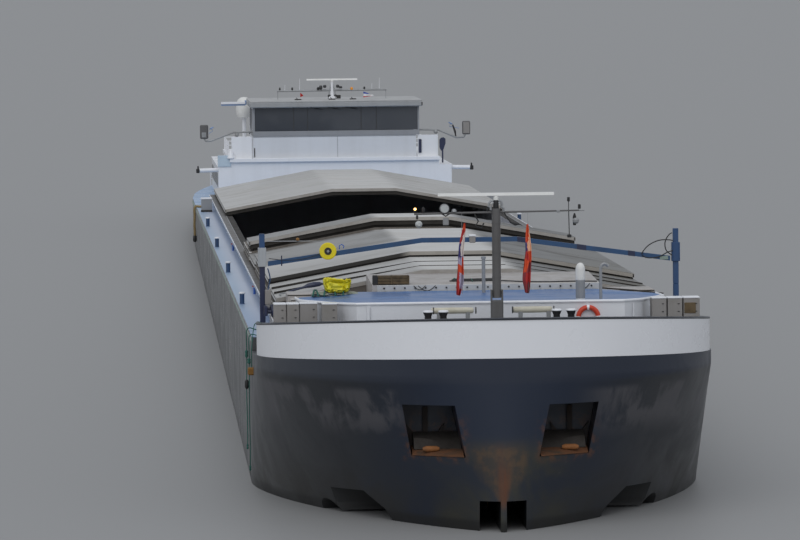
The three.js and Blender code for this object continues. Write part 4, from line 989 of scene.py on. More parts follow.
def life_ring():
    def section(turn, thickness):
        ring = []
        for j in range(12):
            around = 2 * math.pi * j / 12
            reach = LIFE_RING_RADIUS + thickness * math.cos(around)
            ring.append((LIFE_RING_X + reach * math.cos(turn),
                         at(TRUNK_FORE - 0.0063) + thickness * math.sin(around),
                         LIFE_RING_Z + reach * math.sin(turn)))
        return ring

    rings = [section(2 * math.pi * k / 48, 0.006) for k in range(48)]
    Shape().loft(rings + [rings[0]], capped=False).place("life_ring_body", "orange", replaces=("life_ring",))
    bands = Shape()
    for quarter in range(4):
        middle = math.pi / 2 * quarter + 0.02
        bands.loft([section(middle + step * 0.06, 0.0064) for step in (-2, -1, 0, 1, 2)])
    bands.place("life_ring_bands", "band")


def crate():
    low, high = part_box("crate")
    planks = Shape()
    height = (high.z - low.z) / 3
    for row in range(3):
        planks.box((low.x + 0.003, low.y, low.z + row * height + 0.0005),
                   (high.x, high.y, low.z + (row + 1) * height), 0.0008)
    for x in (low.x, low.x + 0.045, high.x - 0.004):
        planks.box((x, low.y - 0.0015, low.z), (x + 0.004, high.y, high.z), 0.0006)
    planks.place("crate_planks", "wood", replaces=("crate",))
    end = Shape().box((low.x - 0.0005, low.y - 0.002, low.z - 0.002), (low.x + 0.012, high.y, high.z), 0.001)
    end.place("crate_end", "rubber")


def bag():
    low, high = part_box("bag")
    centre = (low + high) / 2
    half = (high - low) / 2
    around, upward = 88, 44
    rings = []
    for i in range(1, upward):
        lift = math.pi * i / upward
        ring = []
        for j in range(around):
            turn = 2 * math.pi * j / around
            way = Vector((math.sin(lift) * math.cos(turn), math.sin(lift) * math.sin(turn), math.cos(lift)))
            square = Vector([math.copysign(abs(c) ** 0.42, c) for c in way])
            folds = abs(noise.noise(Vector((way.x * 4.2 + 1.7 * way.z, way.y * 2.0, way.z * 2.2))
                                    + Vector((3, 1, 7))))
            folds += 0.5 * abs(noise.noise(way * 7.0))
            groove = 0.2 * math.exp(-((square.x - 0.52) / 0.07) ** 2)
            drawn_in = 0.2 * clamp(0.4 - 0.5 * square.z)
            dip = 0.16 * math.sin(2.6 * square.x + 0.8) * clamp(square.z)
            reach = Vector((1 - drawn_in, 1 - groove - 0.55 * folds, 1 - 0.3 * folds - dip - 0.5 * groove))
            ring.append([c + h * s * r for c, h, s, r in zip(centre, half, square, reach)])
        rings.append(ring)
    piece = Shape().loft(rings).place("tarp_bag", "tarp", replaces=("bag",), angle=17)


def mast():
    y = at(MAST_STATION)
    deck = foredeck_z(MAST_STATION)
    foot = Shape().box((-0.0135, y - 0.0115, deck + 0.001), (0.0135, y + 0.0115, MAST_PIVOT_Z - 0.018),
                       0.002)
    foot.pair((0.0112, y - 0.0095, 0.5), (0.0148, y + 0.0095, MAST_PIVOT_Z + 0.008), 0.001)
    foot.box((-0.02, y - 0.016, deck + 0.001), (0.02, y + 0.016, deck + 0.006), 0.002)
    foot.place("mast_tabernacle", "mast", replaces=("mast_foot",))
    pole = Shape().turned([(0.0104, MAST_PIVOT_Z - 0.012), (0.0106, MAST_PIVOT_Z), (0.0105, 0.7),
                           (0.0102, 0.76), (0.0098, 0.765)], (0, y, 0), "z", 28)
    pole.turned([(0.004, -0.0107), (0.004, 0.0107)], (0, y, MAST_PIVOT_Z), "x", 16)
    for z in (0.6, 0.66, 0.73):
        pole.turned([(0.0112, -0.0015), (0.0112, 0.0015)], (0, y, z), "z", 24)
    yard = ((-0.197, -0.001, 0.0026), (-0.1, 0, 0.0027), (0, 0.001, 0.0027), (0.12, 0.002, 0.0021),
            (0.2, 0.003, 0.0019))
    pole.tube([(x, y, YARD_Z + rise) for x, rise, _ in yard], [radius for _, _, radius in yard], 10)
    pole.place("mast_pole", "mast", body="bow_mast", replaces=("bow_mast",))
    mast_brackets(y)
    mast_fittings(y)
    radar = Shape().turned([(0.0068, 0), (0.0068, 0.008), (0.005, 0.0102)], (0, y, 0.7853), "z", 20)
    radar.across([(y - 0.006, 0.7958), (y - 0.0045, 0.8025), (y + 0.0045, 0.8028), (y + 0.006, 0.7965)],
                 (-0.14, -0.137, 0.137, 0.14))
    radar.place("radar_bar", "plastic", body="bow_radar", replaces=("bow_radar",))
    lines = Shape()
    for x in (-0.083, 0.076):
        lines.tube([(x, y - 0.002, YARD_Z), (x, y - 0.002, 0.56)], 0.0005, 5)
    lines.place("flag_lines", "fitting", body="bow_mast")


# Dark lamps under and on the yard of the mast. Columns: x, lower and upper end, radius.
YARD_LAMPS = (
    (-0.195, 0.757, 0.769, 0.0028),
    (-0.175, 0.757, 0.771, 0.003),
    (0.189, 0.722, 0.751, 0.0034),
    (-0.19, 0.741, 0.752, 0.0022),
    (-0.021, 0.757, 0.768, 0.002),
)
# Hooks and small arms on the yard. Columns: points as x, distance ahead and height, radius, sides.
YARD_HOOKS = (
    (((0.175, 0, 0.757), (0.176, 0, 0.7)), 0.0011, 6),
    (((-0.052, 0.002, 0.751), (-0.043, 0.004, 0.735), (-0.05, 0.003, 0.724), (-0.036, 0.003, 0.718),
      (-0.03, 0.002, 0.73)), 0.0018, 8),
    (((-0.135, 0, 0.756), (-0.121, 0, 0.748), (-0.108, 0, 0.756)), 0.0016, 8),
    (((0.02, 0.001, 0.754), (0.027, 0.002, 0.742), (0.035, 0.002, 0.731), (0.046, 0.002, 0.7265),
      (0.056, 0.002, 0.7265)),
     (0.0014, 0.0014, 0.002, 0.0036, 0.001), 8),
    (((0.175, 0, 0.757), (0.175, 0, 0.78)), 0.0009, 6),
)
# Cable loops beside the mast's head. Columns: side, points as distance from the middle and height.
HEAD_LOOPS = (
    (-1, ((0.0065, 0.784), (0.0125, 0.7835), (0.0165, 0.778), (0.0185, 0.7705), (0.0135, 0.7685),
          (0.0125, 0.761))),
    (1, ((0.0065, 0.784), (0.0115, 0.783), (0.0145, 0.776), (0.0135, 0.769), (0.0185, 0.7655),
         (0.019, 0.757))),
)


def mast_brackets(y):
    dark = Shape()
    for x, low, high, radius in YARD_LAMPS:
        tall = high - low
        dark.turned([(radius, 0), (radius * 1.25, tall * 0.2), (radius * 1.25, tall * 0.7),
                     (radius * 0.5, tall)], (x, y, low), "z", 14)
    for points, radius, sides in YARD_HOOKS:
        dark.tube([(x, y - ahead, z) for x, ahead, z in points], radius, sides)
    for x0, x1, half, low, high in ((0.171, 0.181, 0.004, 0.693, 0.7), (0.1715, 0.178, 0.003, 0.7795, 0.79),
                                    (0.1975, 0.204, 0.003, 0.7615, 0.7725)):
        dark.box((x0, y - half, low), (x1, y + half, high), 0.001)
    dark.turned([(0.0062, 0.764), (0.0068, 0.768), (0.0066, 0.7805), (0.0055, 0.7845)], (0, y, 0), "z", 16)
    dark.place("mast_brackets", "rubber", body="bow_mast")
    loops = Shape()
    for side, points in HEAD_LOOPS:
        loops.tube([(side * x, y - 0.003, z) for x, z in points], 0.0028, 8)
        loops.tube([(side * 0.006, y - 0.004, 0.7795), (side * 0.0105, y - 0.006, 0.775),
                    (side * 0.012, y - 0.004, 0.766)], 0.0016, 6)
    loops.box((0.1455, y - 0.003, 0.7535), (0.1535, y + 0.003, 0.7595), 0.001)
    loops.tube([(0.199, y, YARD_Z + 0.003), (0.213, y, YARD_Z + 0.003)], 0.0016, 6)
    loops.place("mast_head", "fitting", body="bow_mast")


def mast_fittings(y):
    pale, clear = Shape(), Shape()
    pale.box((-0.128, y - 0.004, 0.726), (-0.114, y + 0.004, 0.744), 0.0015)
    pale.turned([(0.006, 0), (0.0055, 0.004), (0.003, 0.007)], (-0.101, y, 0.758), "z", 18)
    pale.turned([(0.009, 0), (0.0115, 0.004), (0.0115, 0.01), (0.008, 0.012)],
                (-0.124, y - 0.006, 0.766), "y", 22)
    pale.turned([(0.004, 0), (0.0075, 0.004), (0.008, 0.01), (0.005, 0.014)],
                (0.192, y - 0.001, 0.726), "z", 16)
    pale.place("mast_fittings", "fitting", body="bow_mast")
    clear.turned([(0.0095, -0.002), (0.0095, 0.0)], (-0.124, y - 0.007, 0.766), "y", 22)
    clear.turned([(0.004, -0.008), (0.008, -0.003), (0.0085, 0.003), (0.004, 0.008)],
                 (-0.186, y, 0.729), "y", 18)
    clear.place("mast_lamp_glasses", "lens", body="bow_mast")
    lit = Shape().turned([(0.0008, -0.003), (0.003, 0), (0.0008, 0.003)],
                         (-0.195, y - 0.004, 0.766), "y", 12)
    lit.place("mast_lit_lamp", "lit", body="bow_mast")


# Limp flags. Columns: name, x at the top and at the foot, top and bottom, half-widths from the top down.
FLAGS = (
    ("flag_starboard", -0.0775, -0.093, 0.731, 0.563,
     (0.002, 0.0055, 0.0085, 0.0092, 0.0088, 0.0085, 0.0045)),
    ("flag_port", 0.077, 0.0725, 0.7265, 0.566, (0.002, 0.006, 0.0095, 0.0115, 0.011, 0.0095, 0.005)),
)
# Colours of the cloth where it shows, from the top down. Columns: share of the height, left of the fold,
# right of it.
FLAG_COLOURS = {
    "flag_starboard": (
        (0.1, "cloth_orange", "cloth_red"),
        (0.28, "cloth_red", "cloth_white"),
        (0.46, "cloth_navy", "cloth_white"),
        (0.5, "cloth_navy", "cloth_lilac"),
        (0.6, "cloth_lilac", "cloth_orange"),
        (0.72, "cloth_orange", "cloth_orange"),
        (0.93, "cloth_red", "cloth_lilac"),
        (1.1, "cloth_red", "cloth_red"),
    ),
    "flag_port": (
        (0.05, "cloth_orange", "cloth_red"),
        # The peach is a painted highlight.
        (0.28, "cloth_orange", "cloth_peach"),
        (0.4, "cloth_navy", "cloth_peach"),
        (0.54, "cloth_red", "cloth_orange"),
        (0.72, "cloth_orange", "cloth_dark_red"),
        (0.88, "cloth_dark_red", "cloth_red"),
        (1.1, "cloth_dark_red", "cloth_dark_red"),
    ),
}


def flag_middle(flag, share):
    """The middle line of a hanging flag at a share of its height from the top."""
    top_x, foot_x = flag[1:3]
    return top_x + (foot_x - top_x) * share + 0.0016 * math.sin(8 * share + top_x * 60)


def flag_points(flag, columns=73, rows=57):
    top_x, _, top, low, widths = flag[1:]
    y = at(MAST_STATION)
    points = []
    for row in range(rows):
        share = row / (rows - 1)
        z = top + (low - top) * share
        place = share * (len(widths) - 1)
        index = min(int(place), len(widths) - 2)
        spread = widths[index] + (widths[index + 1] - widths[index]) * (place - index)
        spread *= 0.85 + 0.15 * math.cos(7 * share)
        line = []
        for column in range(columns):
            u = column / (columns - 1)
            fold = math.sin(2 * math.pi * 4.5 * u + 0.8 * share)
            crumple = noise.noise(Vector((u * 5, share * 7, top_x * 40)))
            px = flag_middle(flag, share) + spread * math.sin(math.pi * (u * 2.6 - 1.3 + 0.25 * share))
            py = y - 0.004 + 0.0042 * fold * (0.7 + 0.5 * share) + 0.0018 * crumple
            sag = 0.006 * math.sin(math.pi * u) * share
            line.append((px + 0.0008 * crumple, py, z - sag + 0.0012 * crumple))
        points.append(line)
    return points


def paint_flag(flag, cloth):
    """Gives each face of the cloth the colour of its band, on its side of the fold."""
    bands = FLAG_COLOURS[flag[0]]
    top, low = flag[3:5]
    used = sorted({finish for band in bands for finish in band[1:]})
    cloth.materials.clear()
    for finish in used:
        cloth.materials.append(FINISHES[finish][0])
    for polygon in cloth.polygons:
        share = (top - polygon.center.z) / (top - low) + 0.05 * noise.noise(polygon.center * 120)
        left, right = next((left, right) for limit, left, right in bands if share < limit)
        ripple = 0.0015 * noise.noise(polygon.center * 160)
        fold = flag_middle(flag, share) + 0.003 * math.sin(14 * share) + ripple
        polygon.material_index = used.index(left if polygon.center.x < fold else right)


def flags():
    for flag in FLAGS:
        name, _, _, top, low, _ = flag
        cloth = Shape().loft(flag_points(flag), closed=False)
        piece = cloth.place(f"{name}_cloth", "cloth_red", body="bow_mast", replaces=(name,),
                            angle=80, solid=False)
        paint_flag(flag, piece.data)


# Stations of the bollards and valves on the side decks, of the holes in the coaming and of the open hold.
GANGWAY_BOLLARDS = (2.285, 3.874, 5.394, 6.851)
GANGWAY_VALVES = (2.74, 5.15)
COAMING_HOLES = (2.15, 3.72)
OPEN_HOLD = (4.38, 6.8)
# Counts and spacing of the ribs in the hold and of the knees along the coaming.
HOLD_RIBS = 30
RIB_PITCH = 0.24
COAMING_KNEES = 48
KNEE_PITCH = 0.152


def hull_sides():
    for side, word in SIDES:
        side_shell(side, word)
        coaming(side, word)
        side_deck_fittings(side, word)


def along_ship(shape, side, low, high, edge):
    """A box along one side. Its corners are half-breadth, station and height."""
    return shape.box((side * low[0], at(low[1]), low[2]), (side * high[0], at(high[1]), high[2]), edge)


def side_shell(side, word):
    inner = HOLD_HALF_WIDTH
    outer = [(inner + 0.0005, KEEL_Z + 0.0005)]
    for step in range(9):
        turn = math.pi / 2 * step / 8
        outer.append((HALF_BEAM - BILGE + BILGE * math.sin(turn), KEEL_Z + BILGE - BILGE * math.cos(turn)))
    outer += [(HALF_BEAM, GANGWAY_Z - 0.003), (HALF_BEAM - 0.003, GANGWAY_Z), (inner + 0.001, GANGWAY_Z)]
    steps = [HOLD_FORE + (HOLD_AFT - HOLD_FORE) * i / 24 for i in range(25)]
    shell = Shape().loft([[(side * x, at(s), z) for x, z in outer] for s in steps])
    shell.place(f"side_shell_{word}", "side", replaces=(f"hull_side_{word}",))
    deck = along_ship(Shape(), side, (COAMING_X - 0.013, FORECASTLE_END + 0.006, GANGWAY_Z + 0.0002),
                      (HALF_BEAM - 0.002, HOLD_AFT, GANGWAY_Z + 0.0012), 0.0003)
    deck.place(f"gangway_{word}", "walk")
    wall = along_ship(Shape(), side, (inner, HOLD_FORE + 0.001, FLOOR_Z),
                      (inner + 0.002, HOLD_AFT, COAMING_Z - 0.001), 0.0004)
    for index in range(HOLD_RIBS):
        s = HOLD_FORE + 0.2 + index * RIB_PITCH
        along_ship(wall, side, (inner - 0.0015, s - 0.004, FLOOR_Z),
                   (inner + 0.001, s + 0.004, COAMING_Z - 0.002), 0.0004)
    wall.place(f"hold_wall_{word}", "hold")
    belt = Shape().tube([(side * (HALF_BEAM - 0.0015), at(s), GANGWAY_Z - 0.01)
                         for s in (FORECASTLE_END + 0.008, HOUSE_FORE)], 0.004)
    belt.place(f"rubbing_belt_{word}", "edge_green")
    seam = along_ship(Shape(), side, (HALF_BEAM, 1.3, 0.3095),
                      (HALF_BEAM + 0.0004, HOUSE_FORE, 0.3105), 0.0001)
    seam.place(f"side_seam_{word}", "side")


def coaming(side, word):
    inner, web = HOLD_HALF_WIDTH + 0.001, COAMING_X - 0.013
    section = ((inner, GANGWAY_Z), (web, GANGWAY_Z), (web, COAMING_Z - 0.012),
               (COAMING_X - 0.001, COAMING_Z - 0.011), (COAMING_X - 0.001, COAMING_Z - 0.001),
               (inner, COAMING_Z - 0.001))
    plating = Shape().arch([(side * x, z) for x, z in section], HOLD_FORE - 0.001, HOLD_AFT)
    plating.place(f"coaming_{word}", "light_blue")
    knees = Shape()
    x0, x1 = side * web, side * (COAMING_X - 0.002)
    for index in range(COAMING_KNEES):
        s = HOLD_FORE + 0.08 + index * KNEE_PITCH
        knees.plate([(x0, GANGWAY_Z + 0.001), (x0, COAMING_Z - 0.012), (x1, COAMING_Z - 0.012)], at(s),
                    0.0006)
    knees.place(f"coaming_knees_{word}", "light_blue")
    edge = Shape().tube([(side * (COAMING_X - 0.0015), at(s), COAMING_Z - 0.0008)
                         for s in (FORECASTLE_END + 0.01, HOLD_AFT)], 0.0015, 6)
    edge.place(f"coaming_edge_{word}", "band")
    rail = along_ship(Shape(), side, (COAMING_X - 0.022, HOLD_FORE, COAMING_Z - 0.002),
                      (COAMING_X - 0.004, HOLD_AFT, COAMING_Z + 0.0002), 0.0004)
    rail.place(f"rail_{word}", "rail")
    # Painted shadow: a near-black ledge along the hold's edge.
    ledge = along_ship(Shape(), side, (HOLD_HALF_WIDTH + 0.0006, HOLD_FORE, COAMING_Z - 0.0015),
                       (COAMING_X - 0.0222, HOLD_AFT, COAMING_Z + 0.0001), 0.0003)
    ledge.place(f"hold_ledge_{word}", "cover_shadow")
    lip = Shape().tube([(side * (COAMING_X - 0.0225), at(s), COAMING_Z + 0.0006) for s in OPEN_HOLD],
                       0.0012, 6)
    lip.place(f"hold_edge_{word}", "fitting")


def side_deck_fittings(side, word):
    posts, caps = Shape(), Shape()
    for s in GANGWAY_BOLLARDS:
        x = side * 0.5575
        posts.turned([(0.0085, 0.0), (0.0066, 0.002), (0.0066, 0.028)],
                     (x, at(s), GANGWAY_Z + 0.0012), "z", 20)
        caps.turned([(0.0066, 0.0), (0.0088, 0.001), (0.0088, 0.0042), (0.006, 0.0055)],
                    (x, at(s), GANGWAY_Z + 0.0292), "z", 20)
    posts.place(f"gangway_bollards_{word}", "bollard_blue")
    caps.place(f"gangway_bollard_caps_{word}", "band")
    valves, wheels, scuppers = Shape(), Shape(), Shape()
    for s in GANGWAY_VALVES:
        x = side * (COAMING_X - 0.005)
        valves.upright(x, at(s), GANGWAY_Z, GANGWAY_Z + 0.02, 0.0035, 8)
        wheels.turned([(0.007, 0), (0.007, 0.003)], (x, at(s), GANGWAY_Z + 0.022), "z", 14)
    for s in COAMING_HOLES:
        scuppers.turned([(0.005, -0.0006), (0.005, 0.0006)],
                        (side * (COAMING_X - 0.0126), at(s), GANGWAY_Z + 0.014), "x", 14)
    valves.place(f"gangway_valves_{word}", "bright_blue")
    wheels.place(f"valve_wheels_{word}", "red")
    scuppers.place(f"coaming_holes_{word}", "black")


def hold():
    floor = Shape().box((-HOLD_HALF_WIDTH, at(HOLD_FORE), KEEL_Z),
                        (HOLD_HALF_WIDTH, at(HOLD_AFT), FLOOR_Z), 0.001)
    floor.place("hold_floor_plates", "hold", replaces=("hull_bottom",))
    for s, name in ((HOLD_FORE + 0.001, "fore"), (HOLD_AFT - 0.001, "aft")):
        wall = Shape().box((-HOLD_HALF_WIDTH, at(s) - 0.001, FLOOR_Z),
                           (HOLD_HALF_WIDTH, at(s) + 0.001, COAMING_Z - 0.002), 0.0004)
        wall.place(f"hold_bulkhead_{name}", "hold")
    deck = GANGWAY_Z + 0.001
    boxes = Shape().pair((0.518, at(8.0), deck), (0.558, at(8.03), 0.462), 0.001)
    boxes.place("gangway_boxes", "bridge_grey")
    feet = Shape().pair((0.517, at(7.996), deck), (0.56, at(8.0), deck + 0.008), 0.0006)
    feet.place("gangway_box_feet", "black")
    lids = Shape().pair((0.517, at(7.998), 0.462), (0.56, at(8.034), 0.468), 0.001)
    lids.place("gangway_box_lids", "band")


# Hatch covers. Columns: node, first station, length, height of the top one over the lowest, layers under it,
# length of the top one.
COVERS = (
    ("cover_fore_1", 1.274, 0.616, 0.015, 1, 0.616),
    ("cover_fore_2", 1.89, 0.64, 0.03, 2, 0.64),
    ("cover_fore_3", 2.53, 0.64, 0.03, 2, 0.64),
    ("cover_fore_4", 3.17, 0.59, 0.0, 0, 0.59),
    ("cover_stack", 3.76, 0.612, 0.037, 3, 0.25),
    ("cover_aft_1", 6.81, 0.612, 0.0, 0, 0.612),
    ("cover_aft_2", 7.422, 0.612, 0.0, 0, 0.612),
    ("cover_aft_3", 8.034, 0.612, 0.0, 0, 0.612),
)
FACE_DEPTH = 0.0105
# Stations where the foremost cover's plates overlap.
PLATE_LIPS = (1.44, 1.65)
# The covers whose ends lie in the shade.
SHADED_FACES = ("cover_fore_2", "cover_fore_3")


def arch_section(low, high, edge=COVER_EDGE):
    """The closed outline of a cover between two heights at its side, flat between the knees."""
    drop = COVER_DROP * (COVER_EDGE - edge) / (COVER_EDGE - COVER_KNEE)
    ring = [(edge, low + drop), (edge, high + drop), (COVER_KNEE, high + COVER_DROP)]
    ring += [(-x, z) for x, z in reversed(ring)]
    return ring + [(-COVER_KNEE, low + COVER_DROP), (COVER_KNEE, low + COVER_DROP)]


def covers():
    for node, first, length, lift, layers, top_length in COVERS:
        front, back = first + 0.003, first + length - 0.003
        top_back = first + top_length - 0.003
        base = COAMING_Z + 0.0003
        top = base + lift + COVER_DEPTH
        skin, face, core, tips = Shape(), Shape(), Shape(), Shape()
        skin.arch(arch_section(top - 0.004, top), front + 0.001, top_back - 0.001)
        for start in (front, top_back - 0.012):
            face.arch(arch_section(top - FACE_DEPTH, top - 0.0006), start, start + 0.012)
        core.arch(arch_section(top - COVER_DEPTH, top - 0.004, COVER_EDGE - 0.003), front + 0.004,
                  top_back - 0.004)
        tips.pair((COVER_EDGE - 0.005, at(front), top - 0.012), (COVER_EDGE, at(top_back), top), 0.001)
        skin.place(f"{node}_skin", "cover", body=node, replaces=(node,))
        # The faces are the aluminium in painted shade.
        face.place(f"{node}_faces", "cover_face" if node in SHADED_FACES else "cover_side_shade", body=node)
        if layers:
            plates = Shape()
            core.arch(arch_section(base + 0.001, base + lift + 0.001, COVER_EDGE - 0.013), front + 0.012,
                      top_back - 0.012)
            for layer in range(layers):
                z = base + layer * LAYER_PITCH
                plates.arch(arch_section(z, z + 0.0068), front + 0.001, back)
                tips.pair((COVER_EDGE - 0.008, at(front), z + 0.0034),
                          (COVER_EDGE, at(back), z + 0.0072), 0.0008)
            # The stacked layers are the aluminium in painted shade.
            plates.place(f"{node}_plates", "cover_layer_shade", body=node)
        # The core under the skin is near-black painted shadow.
        core.place(f"{node}_core", "cover_shadow", body=node)
        tips.place(f"{node}_tips", "cover_lip", body=node)


# A plate's overlap from the knee to the side. Columns: half-breadth, height on the cover, share of its rise.
LIP_CREST = ((COVER_KNEE - 0.005, COVER_DROP, 0.3), (0.3, 0.0354, 0.8), (COVER_EDGE - 0.001, 0, 1))


def plate_lips():
    """Raised edges where the plates of the foremost cover overlap, near-black as painted shadow of their
    steps.
    """
    lips = Shape()
    top = COAMING_Z + 0.0153 + COVER_DEPTH
    flat = top + COVER_DROP
    for y in (at(station) for station in PLATE_LIPS):
        for side, rise in ((-1, 0.0062), (1, 0.0036)):
            rings = []
            for x, height, share in LIP_CREST:
                z = top + height
                rings.append([(side * x, y, z - 0.001), (side * x, y, z + rise * share),
                              (side * x, y + 0.009, z)])
            lips.loft(rings)
        lips.across([(y, flat - 0.001), (y, flat + 0.0016), (y + 0.006, flat)], (-COVER_KNEE, COVER_KNEE))
    lips.place("cover_fore_1_lips", "cover_shadow", body="cover_fore_1")


# The platform ahead of the covers: its sides, height at the fore edge, stations of fore edge and strip.
PLATFORM_X = (-0.263, 0.314)
PLATFORM_Z = 0.54
PLATFORM_FORE = 0.918
STRIP_FORE = 0.915
STRIP_BOLTS = 21
# Ledges beside the platform. Columns: first and last station, top, inner and outer half-breadth.
LEDGES = (
    (0.93, 1.0, 0.494, 0.3, 0.47),
    (1.0, 1.09, 0.502, 0.318, 0.466),
    (1.09, 1.229, 0.51, 0.318, 0.472),
)


def hatch_end():
    top = COAMING_Z + APRON_LIFT + COVER_DEPTH
    low = COAMING_Z - 0.005
    arch = Shape().arch(arch_section(low, top), APRON_FORE + 0.004, HOLD_FORE)
    arch.place("hatch_end_arch", "cover", replaces=("hatch_end_fore",))
    # The face is the aluminium in painted shade.
    face = Shape().arch(arch_section(top - FACE_DEPTH, top - 0.0006), APRON_FORE, APRON_FORE + 0.01)
    face.place("hatch_end_face", "cover_side_shade")
    shade = Shape().arch(arch_section(low, top - FACE_DEPTH), APRON_FORE + 0.003, APRON_FORE + 0.01)
    shade.place("hatch_end_shade", "cover_layer_shade")
    block = Shape().box((-COAMING_X + 0.002, at(FORECASTLE_END + 0.006), GANGWAY_Z),
                        (COAMING_X - 0.002, at(HOLD_FORE), COAMING_Z - 0.001), 0.001)
    block.place("hatch_end_coaming", "platform")


def hatch_platform():
    x0, x1 = PLATFORM_X
    fore, aft = at(PLATFORM_FORE), at(APRON_FORE + 0.002)
    platform = Shape().across([(fore, 0.43), (fore, PLATFORM_Z), (aft, PLATFORM_Z + 0.011), (aft, 0.43)],
                              PLATFORM_X)
    platform.place("hatch_platform", "platform")
    strip = Shape().box((x0 + 0.012, at(STRIP_FORE), PLATFORM_Z - 0.022),
                        (x1, fore + 0.001, PLATFORM_Z), 0.001)
    strip.place("bolted_strip", "locker_pale")
    bolts = Shape()
    for index in range(STRIP_BOLTS):
        x = x0 + 0.03 + (x1 - x0 - 0.05) * index / (STRIP_BOLTS - 1)
        bolts.turned([(0.0024, 0), (0.0024, 0.0018), (0.001, 0.0026)],
                     (x, at(STRIP_FORE) - 0.0024, PLATFORM_Z - 0.0075), "y", 10)
    bolts.place("strip_bolts", "black")
    steps, edges = Shape(), Shape()
    for s0, s1, z, inner, outer in LEDGES:
        steps.pair((inner, at(s0), COAMING_Z - 0.002), (outer, at(s1), z), 0.002)
        edges.pair((inner, at(s0) - 0.0008, z - 0.004), (outer, at(s0) + 0.0004, z - 0.0012), 0.0002)
    steps.place("hatch_steps", "platform")
    edges.tube([(0.25, at(1.2), 0.513), (0.33, at(1.1), 0.5155), (0.42, at(1.04), 0.5105),
                (0.485, at(1.0), 0.5045)], 0.0022, 6)
    # The ledges' edges are near-black painted shadow lines.
    edges.place("ledge_edges", "cover_shadow")


# The gantry. Knee and ends of its beam, the beam's depth, and the height of its wheels.
BEAM_KNEE = 0.122
BEAM_TOP_Z = 0.647
BEAM_END_Z = 0.592
BEAM_DEPTH = 0.012
WHEEL_Z = 0.4653


def gantry():
    for side, word in SIDES:
        gantry_post(side, word)
        for end, reach in (("fore", -0.055), ("aft", 0.055)):
            gantry_wheel(side, reach, f"gantry_wheel_{word}_{end}")
    gantry_beam()
    cable_reel()
    y = at(GANTRY_STATION)
    pipe = Shape().tube([(-0.52, y - 0.004, 0.644), (-0.384, y - 0.004, 0.6425)], 0.0011, 6)
    pipe.place("beam_pipe", "fitting", body="gantry")
    end = Shape().turned([(0.0015, -0.004), (0.0042, -0.002), (0.0046, 0.001), (0.002, 0.004)],
                         (-0.442, y - 0.004, 0.648), "z", 14)
    end.place("pipe_float", "ochre", body="gantry")


def gantry_post(side, word):
    """A post in two shades of paint on its rail frame. The seam between them is higher to starboard."""
    y = at(GANTRY_STATION)
    seam = 0.588 if side < 0 else 0.52
    x0, x1 = side * (POST_X - 0.007), side * (POST_X + 0.007)
    low = Shape().box((x0, y - 0.007, 0.434), (x1, y + 0.007, seam), 0.0012)
    high = Shape().box((x0, y - 0.007, seam), (x1, y + 0.007, POST_TOP_Z), 0.0012)
    high.box((x0, y - 0.007, POST_TOP_Z), (x1, y + 0.007, POST_TOP_Z + 0.0015), 0.0004)
    low.box((side * 0.524, y - 0.08, 0.4573), (side * 0.532, y + 0.08, 0.4793), 0.0015)
    for reach in (-0.075, 0.075):
        low.box((side * 0.5235, y + reach - 0.004, 0.456), (side * 0.5325, y + reach + 0.004, 0.481), 0.001)
    low.place(f"post_low_{word}", "gantry_dark" if side < 0 else "gantry", body="gantry",
              replaces=(f"gantry_post_{word}",))
    high.place(f"post_high_{word}", "gantry", body="gantry")


def gantry_wheel(side, reach, body):
    x, y = side * 0.5075, at(GANTRY_STATION) + reach
    wheel = Shape().turned([(0.004, -0.0055), (0.0118, -0.0052), (0.013, -0.004), (0.013, 0.004),
                            (0.0118, 0.0052), (0.004, 0.0055)], (x, y, WHEEL_Z), "x", 32)
    wheel.turned([(0.0075, 0.0), (0.0075, 0.001)], (x + side * 0.0053, y, WHEEL_Z), "x", 20)
    wheel.turned([(0.005, -0.006), (0.005, 0.006)], (side * 0.5177, y, WHEEL_Z), "x", 16)
    for k in range(5):
        turn = 2 * math.pi * k / 5
        place = (x - 0.0056, y + 0.0085 * math.cos(turn), WHEEL_Z + 0.0085 * math.sin(turn))
        wheel.turned([(0.0014, -0.0006), (0.0014, 0.0006)], place, "x", 8)
    wheel.place(f"{body}_tread", "gantry_dark", body=body, replaces=(body,))


def gantry_beam():
    y = at(GANTRY_STATION)
    half = [(BEAM_KNEE, BEAM_TOP_Z - BEAM_DEPTH), (0.519, BEAM_END_Z - BEAM_DEPTH), (0.519, BEAM_END_Z),
            (BEAM_KNEE, BEAM_TOP_Z)]
    beam = Shape().plate(mirror(half), y, 0.008)
    beam.place("beam_arch", "beam", body="gantry_beam", replaces=("gantry_beam",))
    for side, word in SIDES:
        sleeve = Shape()
        for x0, x1 in ((0.5235, 0.5263), (0.5417, 0.5445)):
            sleeve.box((side * x0, y - 0.0105, 0.5785), (side * x1, y + 0.0105, 0.6275), 0.0008)
        for d0, d1 in ((-0.0105, -0.0078), (0.0078, 0.0105)):
            sleeve.box((side * 0.526, y + d0, 0.5785), (side * 0.542, y + d1, 0.6275), 0.0008)
        sleeve.place(f"beam_sleeve_{word}", "gantry" if side > 0 else "sleeve", body="gantry_beam")
    joints = Shape()
    slope = (BEAM_TOP_Z - BEAM_END_Z) / (0.52 - BEAM_KNEE)
    for x0, x1 in ((0.124, 0.149), (0.278, 0.302), (0.41, 0.428)):
        z0, z1 = (BEAM_TOP_Z - slope * (x - BEAM_KNEE) + 0.0006 for x in (x0, x1))
        deep = BEAM_DEPTH + 0.0012
        joints.plate([(x0, z0), (x1, z1), (x1, z1 - deep), (x0, z0 - deep)], y, 0.0086)
    joints.place("beam_joints", "gantry_dark", body="gantry_beam")
    hook = Shape().tube([(-0.335, y - 0.006, 0.621), (-0.335, y - 0.006, 0.63),
                         (-0.329, y - 0.006, 0.6335), (-0.323, y - 0.006, 0.629),
                         (-0.325, y - 0.006, 0.623)], 0.0013, 6)
    hook.place("beam_shackle", "bright_blue", body="gantry_beam")


